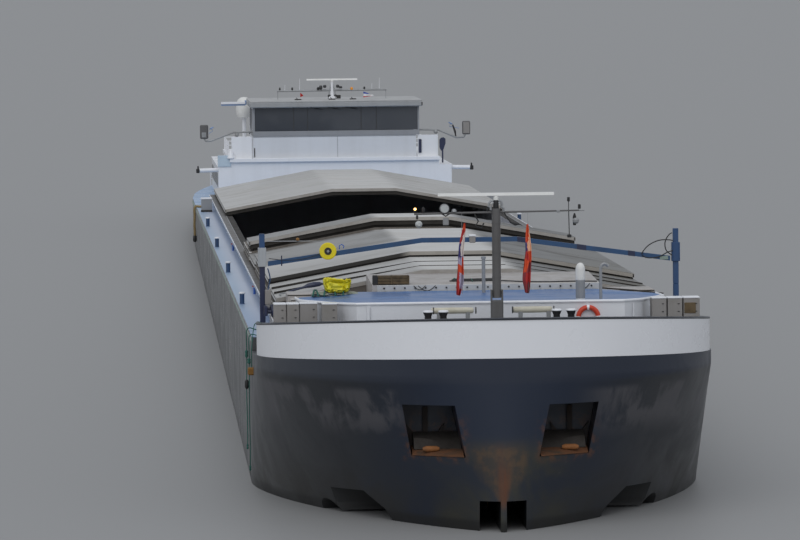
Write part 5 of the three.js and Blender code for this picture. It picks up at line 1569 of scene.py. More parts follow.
def cable_reel():
    x, y, z = -0.365, at(GANTRY_STATION) - 0.016, 0.617
    reel = Shape().turned([(0.01, -0.0042), (0.0205, -0.0038), (0.022, -0.002), (0.022, -0.0005),
                           (0.0185, 0.0), (0.022, 0.0012), (0.022, 0.0036), (0.008, 0.004)],
                          (x, y, z), "y", 36)
    reel.place("reel_body", "yellow", body="gantry_beam", replaces=("cable_reel",))
    ring = Shape().turned([(0.0095, -0.001), (0.0095, 0.0005)], (x, y - 0.0043, z), "y", 24)
    ring.turned([(0.006, -0.004), (0.006, 0.004)], (x, y + 0.0037, z), "y", 12)
    ring.place("reel_ring", "rubber", body="gantry_beam")
    hub = Shape().turned([(0.0042, -0.001), (0.0042, 0.0003)], (x, y - 0.0055, z), "y", 4)
    hub.place("reel_hub", "fitting", body="gantry_beam")


# Single boxes. Columns: piece, finish, body, low and high corner as x, station and height, edge.
PLAIN_BOXES = (
    ("trunk_step", "fitting", "hull", (-0.37, 0.33, 0.478), (-0.31, 0.36, 0.486), 0.003),
    ("port_step", "fitting", "hull", (0.29, 0.33, 0.478), (0.37, 0.36, 0.484), 0.003),
    ("locker_plinth", "locker", "hull", (-0.4315, 0.4, foredeck_z(0.4) + 0.001),
     (-0.4095, 0.52, 0.47), 0.002),
    ("locker_opening", "wood", "hull", (0.481, 0.4385, 0.489), (0.509, 0.4405, 0.515), 0.0005),
    ("post_box", "locker", "gantry", (-0.528, 1.136, 0.482), (-0.512, 1.1505, 0.52), 0.0015),
    ("beam_lamp", "locker", "gantry_beam", (0.0, 1.146, 0.633), (0.016, 1.168, 0.65), 0.0015),
    ("beam_lamp_top", "band", "gantry_beam", (-0.001, 1.145, 0.6495), (0.017, 1.169, 0.654), 0.001),
    ("beam_green_end", "edge_green", "gantry_beam", (0.492, 1.148, 0.583), (0.514, 1.158, 0.592), 0.001),
    ("beam_hanger", "gantry_dark", "gantry_beam", (-0.4855, 1.1485, 0.58), (-0.4825, 1.1502, 0.607), 0.0005),
    ("side_screen", "pale_blue", "hull", (-0.468, 9.196, 0.54), (-0.415, 9.199, 0.585), 0.001),
    ("house_door_handle", "black", "deckhouse_door", (0.318, 10.4005, 0.475), (0.322, 10.405, 0.489), 0.001),
    ("mirror_face", "locker", "wheelhouse", (0.5155, 9.2432, 0.6595), (0.5405, 9.2445, 0.7045), 0.001),
    ("mirror_panel", "fitting", "wheelhouse", (-0.529, 9.2432, 0.656), (-0.512, 9.2445, 0.676), 0.001),
    ("roof_board_panel", "band", "wheelhouse", (-0.447, 9.398, 0.7835), (-0.35, 9.4, 0.7925), 0.0005),
)


def plain_boxes():
    for name, finish, body, low, high, edge in PLAIN_BOXES:
        along_ship(Shape(), 1, low, high, edge).place(name, finish, body=body)


def smooth(points, steps=4):
    """Points on one smooth curve through the given ones."""
    points = [Vector(p) for p in points]
    ends = [points[0] * 2 - points[1]] + points + [points[-1] * 2 - points[-2]]
    line = []
    for a, b, c, d in zip(ends, ends[1:], ends[2:], ends[3:]):
        for k in range(steps):
            u = k / steps
            line.append(0.5 * (2 * b + (c - a) * u + (2 * a - 5 * b + 4 * c - d) * u ** 2
                               + (3 * b - a - 3 * c + d) * u ** 3))
    return line + [points[-1]]


def rope(name, points, radius, finish, body="hull"):
    """A cord along a path, as a tube."""
    piece = Shape().tube(points, radius, 8).place(name, finish, body=body)
    length = sum((Vector(b) - Vector(a)).length for a, b in zip(points, points[1:]))
    tuple(points[0])
    [tuple(p) for p in points]


def on_platform(x, s, lift=0.0):
    return x, at(s), PLATFORM_Z + 0.035 * (s - PLATFORM_FORE) + 0.0016 + lift


# Leads and hoses on the gantry, as (x, distance ahead of the posts' middle, height).
REEL_LEAD = (
    (-0.517, 0.0145, 0.6), (-0.505, 0.0165, 0.5985), (-0.48, 0.0165, 0.5955), (-0.45, 0.0165, 0.5955),
    (-0.42, 0.0165, 0.5995), (-0.398, 0.016, 0.606), (-0.386, 0.0155, 0.611),
)
POST_HOSE = (
    (-0.5205, 0.0165, 0.575), (-0.5175, 0.0165, 0.565), (-0.5145, 0.0155, 0.549), (-0.517, 0.0145, 0.533),
    (-0.5215, 0.015, 0.515),
)
# Hoses from the port post to the beam. Columns: name, then half-breadth and height of each point.
PORT_HOSES = (
    ("port_hose_high", ((0.526, 0.632), (0.514, 0.634), (0.49, 0.633), (0.465, 0.622), (0.45, 0.607),
                        (0.445, 0.5975))),
    ("port_hose_low", ((0.526, 0.606), (0.512, 0.602), (0.493, 0.592), (0.474, 0.588), (0.457, 0.589),
                       (0.447, 0.5945))),
    ("port_hose_loop", ((0.524, 0.652), (0.517, 0.648), (0.508, 0.635), (0.5055, 0.62), (0.51, 0.605),
                        (0.524, 0.594))),
)


def gantry_cables():
    y = at(GANTRY_STATION)
    rope("reel_lead", smooth([(x, y - ahead, z) for x, ahead, z in REEL_LEAD]), 0.0009,
         "rubber", "gantry_beam")
    rope("post_hose", smooth([(x, y - ahead, z) for x, ahead, z in POST_HOSE]), 0.0016,
         "bollard_blue", "gantry")
    for name, points in PORT_HOSES:
        rope(name, smooth([(x, y - 0.0105, z) for x, z in points]), 0.0014, "rubber", "gantry_beam")


# The cable on the platform: its lead from the edge as (x, station), and the number of turns of its hank.
CABLE_LEAD = ((0.31, 0.935), (0.25, 0.944), (0.19, 0.939), (0.13, 0.95), (0.095, 0.972), (0.07, 0.986))
HANK_TURNS = 5


def platform_cable():
    runs = [on_platform(x, s) for x, s in CABLE_LEAD]
    for turn in range(HANK_TURNS):
        s = 0.99 + 0.0135 * turn
        shift = 0.004 * (turn % 3)
        for step in range(7) if turn % 2 else range(6, -1, -1):
            runs.append(on_platform(-0.05 + 0.016 * step + shift,
                                    s + 0.0022 * math.sin(1.3 * step + 0.4 * turn)))
        if turn < HANK_TURNS - 1:
            runs.append(on_platform((0.057 if turn % 2 else -0.061) + shift, s + 0.00675))
    tie = Shape().tube([on_platform(-0.004, s, 0.0022 - 0.003 * abs(s - 1.017) / 0.04)
                        for s in (0.978, 0.985, 1.0, 1.017, 1.034, 1.05, 1.057)], 0.0011, 6)
    tie.turned([(0.0016, -0.003), (0.003, -0.0015), (0.003, 0.0015), (0.0016, 0.003)], runs[-1], "x", 10)
    tie.place("hank_tie", "teal")
    rope("platform_cable", smooth(runs, 3), 0.0014, "rubber")


# Slack loops at the bolted strip. Columns: name, first half-breadth, width, drop, distance before it.
SLACK_LOOPS = (
    ("strip_loop_1", -0.147, 0.045, 0.013, 0.0015),
    ("strip_loop_2", -0.158, 0.03, 0.01, 0.0045),
    ("strip_loop_3", 0.255, 0.035, 0.013, 0.0015),
)


def slack_loops():
    for name, x0, width, drop, stand in SLACK_LOOPS:
        points = []
        for share in (i / 12 for i in range(13)):
            ahead = stand * math.sin(math.pi * min(1, 2.5 * share, 2.5 * (1 - share)) / 2)
            points.append((x0 + width * share, at(STRIP_FORE) - ahead,
                           PLATFORM_Z - 0.002 - drop * math.sin(math.pi * share)))
        rope(name, smooth(points, 2), 0.0009, "rubber")


# A bar that lies on the foremost cover, with its hook. Columns of the bar: x, height, radius.
# Of the hook: x, station, height.
BAR_STATION = 1.32
LOOSE_BAR = (
    (-0.462, 0.5035, 0.0028), (-0.44, 0.5095, 0.003), (-0.422, 0.5145, 0.0032), (-0.41, 0.5185, 0.0062),
    (-0.395, 0.521, 0.0072), (-0.38, 0.5225, 0.0058), (-0.372, 0.5235, 0.0018),
)
LOOSE_HOOK = ((-0.461, 1.32, 0.5035), (-0.474, 1.318, 0.4995), (-0.483, 1.312, 0.499),
              (-0.486, 1.306, 0.4965), (-0.482, 1.303, 0.4945))


def loose_bar():
    bar = Shape().tube([(x, at(BAR_STATION), z) for x, z, _ in LOOSE_BAR],
                       [radius for _, _, radius in LOOSE_BAR], 10)
    bar.place("loose_bar", "gantry_dark", body="cover_fore_1")
    hook = Shape().tube([(x, at(s), z) for x, s, z in LOOSE_HOOK], 0.002, 8)
    hook.place("loose_hook", "fitting", body="cover_fore_1")


# Lines that hang down the starboard side. Columns: name, x, station, top, foot, radius, finish.
SIDE_LINES = (
    ("fender_line", -0.5765, 1.18, 0.424, 0.118, 0.0013, "teal"),
    ("shoulder_line", -0.577, 0.93, 0.424, 0.085, 0.0012, "teal"),
    ("quarter_line", -0.5775, 8.38, 0.424, 0.3, 0.0045, "tan"),
)
# Knots and weights on those lines. Columns: x, station, foot, radius, height.
LINE_KNOTS = (
    (-0.5765, 1.18, 0.343, 0.0042, 0.02),
    (-0.577, 0.93, 0.345, 0.0042, 0.014),
    (-0.5765, 1.18, 0.106, 0.0028, 0.014),
    (-0.577, 0.93, 0.073, 0.0028, 0.014),
)
LINE_WEIGHTS = ((-0.5765, 1.18, 0.262, 0.0055, 0.024), (-0.5775, 8.38, 0.282, 0.007, 0.028))
# The line from the rail to the wooden block, as (x, height).
BLOCK_STATION = 0.801
BLOCK_LINE = (
    (-0.545, 0.4535), (-0.551, 0.4575), (-0.558, 0.458), (-0.565, 0.4535), (-0.5685, 0.44), (-0.572, 0.41),
    (-0.5745, 0.38), (-0.575, 0.344),
)


def side_lines():
    knots, weights = Shape(), Shape()
    for x, s, z, radius, height in LINE_KNOTS:
        profile = ((0.5, 0), (1, 0.2), (0.8, 0.5), (1, 0.8), (0.4, 1))
        knots.turned([(radius * wide, height * up) for wide, up in profile], (x, at(s), z), "z", 12)
    knots.place("line_knots", "teal")
    for x, s, z, radius, height in LINE_WEIGHTS:
        profile = ((0.5, 0), (1, 0.2), (1, 0.8), (0.5, 1))
        weights.turned([(radius * wide, height * up) for wide, up in profile], (x, at(s), z), "z", 14)
    weights.place("line_weights", "rubber")
    for name, x, s, top, foot, radius, finish in SIDE_LINES:
        points = [(x + 0.034, at(s), GANGWAY_Z + radius), (x + 0.026, at(s), GANGWAY_Z + radius + 0.0005),
                  (x + 0.014, at(s), top - 0.005), (x + 0.006, at(s), top - 0.0045),
                  (x + 0.001, at(s), top - 0.011)]
        for i in range(10):
            drop = (top - 0.022 - foot) * i / 9
            points.append((x + 0.0007 * math.sin(i), at(s) + 0.0015 * math.sin(6 * i / 9),
                           top - 0.022 - drop))
        rope(name, smooth(points, 2), radius, finish)
    block = Shape().box((-0.584, at(0.79), 0.326), (-0.5665, at(0.812), 0.345), 0.0025)
    block = block.place("wood_block", "ochre")
    rope("block_line", smooth([(x, at(BLOCK_STATION), z) for x, z in BLOCK_LINE]), 0.0011, "teal")


def dress(name, finish, edge=0.0012):
    """Gives a node of the CAD its paint and small bevels."""
    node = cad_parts[name]
    node.data.materials.clear()
    node.data.materials.append(FINISHES[finish][0])
    if edge:
        bevel = node.modifiers.new("edges", "BEVEL")
        bevel.width = edge
        bevel.segments = 2
        bevel.limit_method = "ANGLE"
        bevel.angle_limit = math.radians(40)


# The house's windows: half-breadth of those in its sides, places of those in its back, sill and head.
HOUSE_WINDOW_HALF = 0.465
HOUSE_BACK_WINDOWS = (-0.36, -0.2, 0.12)
HOUSE_SILL_Z = 0.455
HOUSE_HEAD_Z = 0.511
# Half-breadths of the stern's deck by station.
STERN_PLAN = ((8.65, 0.57), (9.3, 0.567), (9.7, 0.553), (10.0, 0.53), (10.3, 0.497), (10.6, 0.457),
              (10.85, 0.412), (11.0, 0.37))
# Railings. Heights of their bars on the house's roof and on the stern, and stations of the stern's posts.
ROOF_RAIL_HEIGHTS = (0.586, 0.603, 0.62)
STERN_RAIL_HEIGHTS = (0.443, 0.463, 0.483)
STERN_RAIL_STATIONS = (10.44, 10.6, 10.73, 10.85, 10.985)
ROOF_RAIL_HALF = 0.412
ROOF_RAIL_FORE = 9.72
ROOF_RAIL_AFT = 10.39


def deckhouse():
    for name in ("deckhouse_walls", "deckhouse_roof", "deckhouse_door"):
        # Painted light: the lower house is in a paler copy of the bridge's white.
        dress(name, "bridge_lit_pale")
    dress("lift_column", "fitting")
    frames, panes = Shape(), Shape()
    x, y = HOUSE_WINDOW_HALF, at(HOUSE_AFT)
    for s in (9.34 + index * 0.155 for index in range(7)):
        frames.pair((x - 0.001, at(s), HOUSE_SILL_Z), (x + 0.002, at(s + 0.075), HOUSE_HEAD_Z), 0.002)
        panes.pair((x + 0.0015, at(s + 0.006), HOUSE_SILL_Z + 0.006),
                   (x + 0.0026, at(s + 0.069), HOUSE_HEAD_Z - 0.006), 0.0008)
    for x in HOUSE_BACK_WINDOWS:
        frames.box((x, y - 0.001, HOUSE_SILL_Z), (x + 0.075, y + 0.002, HOUSE_HEAD_Z), 0.002)
        panes.box((x + 0.006, y + 0.0015, HOUSE_SILL_Z + 0.006),
                  (x + 0.069, y + 0.0026, HOUSE_HEAD_Z - 0.006), 0.0008)
    frames.place("house_window_frames", "fitting")
    panes.place("house_window_panes", "glass")
    ledge = Shape().pair((0.413, at(HOUSE_FORE), 0.5365), (0.468, y, 0.5395), 0.001)
    ledge.pair((0.331, at(9.2105), HOUSE_ROOF_Z), (0.3335, at(9.2215), 0.657), 0.0008)
    ledge.box((-0.42, at(9.189), 0.5565), (0.42, at(9.1935), 0.5715), 0.0012)
    ledge.place("house_ledges", "band")
    tubes, tips = Shape(), Shape()
    for side in (-1, 1):
        tubes.tube([(side * 0.455, at(9.23), 0.5265), (side * 0.54, at(9.225), 0.525)], 0.0085, 14)
    tips.pair((0.54, at(9.217), 0.515), (0.5535, at(9.233), 0.532), 0.002)
    tips.pair((0.543, at(9.219), 0.5315), (0.549, at(9.229), 0.543), 0.0015)
    tubes.place("house_tubes", "band")
    tips.place("house_tube_ends", "rubber")
    hatches = Shape()
    for s0, s1, x in ((9.85, 10.0, 0.18), (10.1, 10.25, -0.2)):
        hatches.box((x - 0.07, at(s0), HOUSE_ROOF_Z), (x + 0.07, at(s1), HOUSE_ROOF_Z + 0.018), 0.003)
    hatches.place("roof_hatches", "locker")


def railings():
    rails = Shape()
    back, stern_y = at(ROOF_RAIL_AFT), at(STERN_RAIL_STATIONS[-1])
    roof_top, stern_top = ROOF_RAIL_HEIGHTS[-1], STERN_RAIL_HEIGHTS[-1]
    for x in (-ROOF_RAIL_HALF, ROOF_RAIL_HALF):
        for z in ROOF_RAIL_HEIGHTS:
            rails.tube([(x, at(ROOF_RAIL_FORE), z), (x, back, z)], 0.0016, 6)
        for index in range(7):
            rails.upright(x, at(ROOF_RAIL_FORE + index * 0.1117), HOUSE_ROOF_Z, roof_top, 0.0018)
    for side in (-1, 1):
        posts = [(side * half_at(STERN_PLAN, s) * 0.985, at(s)) for s in STERN_RAIL_STATIONS]
        for z in STERN_RAIL_HEIGHTS:
            rails.tube([(x, y, z) for x, y in posts], 0.0016, 6)
        for x, y in posts:
            rails.upright(x, y, GANGWAY_Z, stern_top, 0.0018)
    for half, y, heights in ((ROOF_RAIL_HALF, back, ROOF_RAIL_HEIGHTS),
                             (0.365, stern_y, STERN_RAIL_HEIGHTS)):
        for z in heights:
            rails.tube([(-half, y, z), (half, y, z)], 0.0016, 6)
    for index in range(7):
        x = -ROOF_RAIL_HALF + index * 0.1373
        rails.upright(x, back, HOUSE_ROOF_Z, roof_top, 0.0018)
        rails.upright(x * 0.886, stern_y, GANGWAY_Z, stern_top, 0.0018)
    rails.place("aft_railings", "band")


STERN_WINCH_STATION = 10.83


def stern():
    dress("hull_stern", "side", 0.003)
    caps = Shape()
    for x in (-0.34, 0.34):
        for offset in (-0.025, 0.025):
            caps.turned([(0.012, 0), (0.0145, 0.001), (0.0145, 0.005), (0.01, 0.007)],
                        (x, at(10.82) + offset, 0.472), "z", 20)
    for x in (-0.06, 0.06):
        caps.turned([(0.0125, 0), (0.0135, 0.002), (0.0135, 0.006), (0.0115, 0.0075)],
                    (x, at(10.56), 0.551), "z", 20)
    caps.place("stern_caps", "black")
    louvres = Shape()
    for z in (0.43 + index * 0.011 for index in range(5)):
        louvres.pair((0.12, at(10.5), z), (0.1225, at(10.67), z + 0.004), 0.001)
    louvres.place("casing_louvres", "fitting")
    y = at(STERN_WINCH_STATION)
    winch = Shape().box((-0.06, y - 0.03, GANGWAY_Z + 0.0005), (0.06, y + 0.03, GANGWAY_Z + 0.02), 0.003)
    cheek = [(y - 0.025, GANGWAY_Z + 0.015), (y - 0.012, GANGWAY_Z + 0.07), (y + 0.012, GANGWAY_Z + 0.07),
             (y + 0.025, GANGWAY_Z + 0.015)]
    for x in (-0.055, 0.055):
        winch.across(cheek, (x - 0.005, x + 0.005))
    winch.place("winch_frame", "bright_blue", replaces=("stern_winch",))
    centre_z = GANGWAY_Z + 0.048
    drum = Shape().turned([(0.02, -0.05), (0.02, -0.046), (0.0125, -0.044), (0.0125, 0.044), (0.02, 0.046),
                           (0.02, 0.05)], (0, y, centre_z), "x", 28)
    drum.place("winch_drum", "galvanised")
    steps, turns = 16, 9
    points = []
    for i in range(turns * steps + 1):
        turn = 2 * math.pi * i / steps
        points.append((-0.04 + 0.08 * i / (turns * steps), y + 0.0145 * math.cos(turn),
                       centre_z + 0.0145 * math.sin(turn)))
    Shape().tube(points, 0.0024, 6).place("winch_wire", "fitting")


BLADES = 4
SHAFT_Z = -0.045
PROPELLER_Y = at(10.35) - 0.0127


def blades(shape, centre, shaft, sideways, count, section, form):
    """Adds blades round a hub. The form gives radius, pitch, chord and thickness by share of length."""
    for k in range(BLADES):
        turn = 2 * math.pi * k / BLADES
        radial = sideways * math.sin(turn) + Vector((0, 0, math.cos(turn)))
        around = sideways * math.cos(turn) - Vector((0, 0, math.sin(turn)))
        rings = []
        for share in (i / (count - 1) for i in range(count)):
            radius, pitch, chord, thick = form(share)
            way = math.cos(pitch) * around + math.sin(pitch) * shaft
            out = way.cross(radial).normalized()
            middle = centre + radial * radius
            rings.append([middle + way * chord * u + out * thick * t for u, t in section])
        shape.loft(rings)


def propeller_form(share):
    swell = math.sin(math.pi * min(1, 0.15 + 0.85 * share) ** 0.8)
    chord = 0.012 + 0.03 * swell * (1 if share < 0.9 else 0.8)
    return 0.007 + 0.066 * share, 1.15 - 0.62 * share, chord, 0.0024


def thruster_form(share):
    return 0.006 + 0.0305 * share, 0.95 - 0.4 * share, 0.009 + 0.006 * share, 0.0012


def underwater():
    hub = Shape().turned([(0.004, -0.028), (0.009, -0.022), (0.011, -0.012), (0.011, 0.022)],
                         (0, PROPELLER_Y, SHAFT_Z), "y", 24)
    across, along = Vector((1, 0, 0)), Vector((0, 1, 0))
    foil = ((-0.5, 0), (-0.25, 0.7), (0.1, 1), (0.5, 0), (0.1, -0.4), (-0.25, -0.3))
    blades(hub, Vector((0, PROPELLER_Y, SHAFT_Z)), along, across, 12, foil, propeller_form)
    hub.place("propeller_blades", "bronze", body="propeller", replaces=("propeller",))
    centre = Vector((-0.003, at(THRUSTER_STATION), 0))
    rotor = Shape().turned([(0.003, -0.008), (0.0085, -0.004), (0.009, 0.008)], centre, "x", 20)
    blades(rotor, centre, across, along, 8, ((-0.5, 0), (0, 1), (0.5, 0), (0, -1)), thruster_form)
    rotor.place("thruster_blades", "bronze", body="bow_thruster", replaces=("bow_thruster",))
    for name in ("propeller_nozzle", "rudder_port", "rudder_starboard"):
        dress(name, "hull_aft")
    dress("engine", "engine", 0.003)
    low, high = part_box("engine")
    heads = Shape()
    for y in (low.y + 0.03 + index * 0.036 for index in range(6)):
        heads.box((-0.03, y, high.z), (0.03, y + 0.026, high.z + 0.012), 0.003)
    heads.place("engine_heads", "engine")


# Places across the ship of the joints between the bridge's front panes.
PANE_JOINTS = (-0.318, -0.163, -0.108, 0.106, 0.167, 0.331)
WINDOW_SILL_Z = 0.658


def wheelhouse():
    for name in ("wheelhouse_body", "wheelhouse_door_starboard", "wheelhouse_door_port"):
        dress(name, "bridge")
    for name in ("wheelhouse_glass_fore", "wheelhouse_glass_aft"):
        dress(name, "glass", 0)
    y = at(BRIDGE_FORE)
    panes, bars, trim = Shape(), Shape(), Shape()
    for x0, x1 in zip(PANE_JOINTS, PANE_JOINTS[1:]):
        panes.box((x0 + 0.0015, y - 0.0012, WINDOW_LOW_Z + 0.001),
                  (x1 - 0.0015, y, WINDOW_HIGH_Z - 0.001), 0.0006)
    panes.place("bridge_front_panes", "glass", body="wheelhouse")
    for x in PANE_JOINTS:
        bars.box((x - 0.0022, y - 0.0009, WINDOW_LOW_Z), (x + 0.0022, y + 0.0002, WINDOW_HIGH_Z), 0.0003)
    bars.place("bridge_pane_joints", "console", body="wheelhouse")
    trim.box((-0.326, y - 0.002, WINDOW_SILL_Z), (0.338, y + 0.001, WINDOW_LOW_Z), 0.001)
    for x0, x1 in ((-0.3265, -0.318), (0.331, 0.338)):
        trim.box((x0, y - 0.0015, 0.676), (x1, y + 0.001, WINDOW_HIGH_Z), 0.001)
    trim.pair((0.3245, at(9.212), WINDOW_SILL_Z), (0.3265, at(9.59), WINDOW_LOW_Z), 0.001)
    for s in (9.404, 9.586):
        trim.pair((0.3245, at(s) - 0.005, 0.676), (0.3265, at(s) + 0.004, 0.766), 0.001)
    trim.place("bridge_window_band", "bridge_grey", body="wheelhouse")
    wipers = Shape()
    for x0, x1 in ((0.163, 0.172), (0.193, 0.2)):
        wipers.box((x0, y + 0.0002, 0.68), (x1, y + 0.003, 0.762), 0.0008)
    wipers.box((-0.322, y - 0.0012, 0.575), (-0.318, y, 0.612), 0.0005)
    for x0, x1 in ((-0.095, -0.06), (-0.025, 0.012), (0.046, 0.083)):
        wipers.tube([(x0, y - 0.004, 0.7715), (x1, y - 0.004, 0.766)], 0.0012, 6)
        wipers.tube([(x1 - 0.022, y - 0.0046, 0.7675), (x1 + 0.012, y - 0.0046, 0.7625)], 0.0009, 6)
        wipers.box((x0 - 0.003, y - 0.005, 0.769), (x0 + 0.003, y, 0.775), 0.0008)
    wipers.place("bridge_wipers", "black", body="wheelhouse")
    seams = Shape().box((0.0102, y - 0.0008, 0.573), (0.0116, y, 0.657), 0.0003)
    seams.box((-BRIDGE_HALF, y - 0.0012, 0.6545), (BRIDGE_HALF, y, 0.6565), 0.0004)
    seams.place("bridge_seams", "bridge_grey", body="wheelhouse")
    for side, word in SIDES:
        pane = Shape().turned([(0.0022, -0.006), (0.0022, 0.006)],
                              (side * (BRIDGE_HALF + 0.0012), at(9.668), 0.66), "z", 10)
        pane.box((side * BRIDGE_HALF, at(9.612), 0.69), (side * (BRIDGE_HALF + 0.0008), at(9.668), 0.755),
                 0.0005)
        pane.place(f"bridge_door_pane_{word}", "glass", body=f"wheelhouse_door_{word}")


def bridge_roof():
    low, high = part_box("wheelhouse_roof")
    roof = Shape().box((-0.338, low.y, 0.7724), (high.x, high.y, 0.7925), 0.003)
    roof.place("roof_slab", "roof", body="wheelhouse", replaces=("wheelhouse_roof",))
    sheet = Shape().box((-0.337, low.y + 0.001, 0.7915), (high.x - 0.001, high.y - 0.001, high.z), 0.002)
    sheet.place("roof_sheet", "roof_pale", body="wheelhouse")
    cap = Shape().box((high.x - 0.004, low.y - 0.0008, 0.7745),
                      (high.x + 0.0008, low.y + 0.03, 0.7885), 0.001)
    for x0, x1 in ((-0.155, -0.128), (-0.018, 0.008), (0.066, 0.092)):
        middle = (x0 + x1) / 2
        cap.box((x0, at(9.3), high.z - 0.0005), (x1, at(9.32), high.z + 0.004), 0.001)
        cap.tube([(middle, at(9.31), high.z), (middle - 0.006, at(9.31), high.z + 0.009)], 0.0018, 6)
    cap.place("roof_fittings", "black", body="wheelhouse")
    board = Shape().box((-0.447, at(9.4), 0.777), (-0.35, at(9.403), 0.792), 0.001)
    board.box((-0.352, at(9.4), 0.78), (-0.345, at(9.41), 0.798), 0.001)
    board.place("roof_board", "disc_blue", body="wheelhouse")


# The bridge's mirrors: their station, the profile of the discs beside them, and their arms as (x, height).
MIRROR_STATION = 9.25
DISC_PROFILE = ((0.002, -0.001), (0.0085, -0.002), (0.0095, 0), (0.0085, 0.0025), (0.002, 0.004))
MIRROR_ARMS = (
    ((-0.519, 0.65), (-0.514, 0.641), (-0.492, 0.642), (-0.404, 0.674), (-0.325, 0.676)),
    ((0.524, 0.655), (0.518, 0.645), (0.49, 0.643), (0.415, 0.675), (0.325, 0.677)),
)


def mirrors():
    y = at(MIRROR_STATION)
    arms, boxes, lamps, discs = Shape(), Shape(), Shape(), Shape()
    boxes.box((-0.536, y - 0.006, 0.65), (-0.503, y + 0.006, 0.706), 0.004)
    boxes.box((0.512, y - 0.006, 0.655), (0.544, y + 0.006, 0.709), 0.004)
    for points in MIRROR_ARMS:
        arms.tube([(x, y, z) for x, z in points], 0.0036, 8)
    arms.place("mirror_arms", "fitting", body="wheelhouse")
    boxes.place("mirror_boxes", "mast", body="wheelhouse")
    for x, z in ((-0.389, 0.664), (0.406, 0.667)):
        lamps.turned([(0.004, -0.008), (0.0075, -0.006), (0.0085, 0.004), (0.005, 0.008)],
                     (x, y - 0.002, z), "y", 16)
    lamps.place("arm_lamps", "fitting", body="wheelhouse")
    for side, x, z in ((-1, -0.49, 0.692), (1, 0.465, 0.7)):
        tilt = Matrix.Rotation(side * 0.5, 3, "Y")
        rings = []
        for radius, along in DISC_PROFILE:
            turns = (k * math.pi / 8 for k in range(16))
            edge = [Vector((radius * math.cos(t), radius * math.sin(t), along)) for t in turns]
            rings.append([Vector((x, y, z)) + tilt @ point for point in edge])
        discs.loft(rings)
        discs.tube([(x, y, z), (x - side * 0.004, y, z - 0.012), (side * 0.5, y, z - 0.02)], 0.0012, 6)
    discs.place("arm_discs", "disc_blue", body="wheelhouse")
    stick = Shape().tube([(0.487, y, 0.643), (0.483, y, 0.668), (0.474, y, 0.694)],
                         [0.002, 0.0042, 0.003], 8)
    stick.place("arm_lamp_port", "black", body="wheelhouse")


# The satellite dome and its post: their place across the ship, their station, and the dome's profile.
DOME_X = -0.345
DOME_STATION = 9.79
DOME_PROFILE = (
    (0.012, -0.043), (0.026, -0.04), (0.032, -0.028), (0.033, -0.008), (0.033, 0.008),
    (0.0305, 0.02), (0.024, 0.033), (0.013, 0.041), (0.002, 0.0428),
)
# A dark panel beside the bridge. Columns: x, lower edge, height.
SIDE_PANEL = ((0.418, 0.606, 0.03), (0.424, 0.592, 0.052), (0.434, 0.598, 0.048), (0.442, 0.622, 0.018))


def house_top():
    """Small things on the house: dark boxes beside the bridge, a cone, the satellite dome."""
    blue = Shape().box((0.335, at(9.206), 0.585), (0.346, at(9.2115), 0.64), 0.0015)
    fore, aft = at(9.206), at(9.218)
    blue.loft([[(x, fore, z), (x, aft, z), (x, aft, z + height), (x, fore, z + height)]
               for x, z, height in SIDE_PANEL])
    blue.box((0.427, at(9.207), 0.545), (0.433, at(9.213), 0.6), 0.001)
    blue.place("house_blue_boxes", "gantry_dark")
    cone = Shape().turned([(0.015, 0), (0.016, 0.003), (0.006, 0.03), (0.003, 0.036)],
                          (-0.415, at(9.2), 0.5715), "z", 20)
    cone.place("house_cone", "band")
    dome = Shape().turned(DOME_PROFILE, (DOME_X, at(DOME_STATION), 0.759), "z", 32)
    dome.place("satellite_cap", "plastic", replaces=("satellite_dome",))
    post = Shape().turned([(0.009, HOUSE_ROOF_Z), (0.008, HOUSE_ROOF_Z + 0.01), (0.008, 0.718)],
                          (DOME_X, at(DOME_STATION), 0), "z", 16)
    post.place("satellite_post", "band")


# On the wheelhouse roof. Columns of the horns: x, height, radius. Of the whips: x, top.
# Of the lamps: x, radius.
HORNS = ((-0.046, 0.846, 0.0085), (-0.03, 0.85, 0.006), (0.022, 0.85, 0.0065), (0.034, 0.846, 0.005),
         (-0.012, 0.812, 0.005), (0.013, 0.812, 0.005))
WHIPS = ((-0.1305, 0.882), (0.19, 0.8825), (0.16, 0.86), (-0.19, 0.858))
YARD_TOP_LAMPS = ((-0.056, 0.0055), (-0.16, 0.004), (0.13, 0.004), (-0.21, 0.0035))
# Small flags there. Columns: name, x, height, width, drop, finish.
ROOF_FLAGS = (
    ("roof_flag_red", -0.128, 0.826, 0.012, 0.018, "red"),
    ("roof_pennant", 0.126, 0.8275, 0.04, 0.024, "pennant"),
)


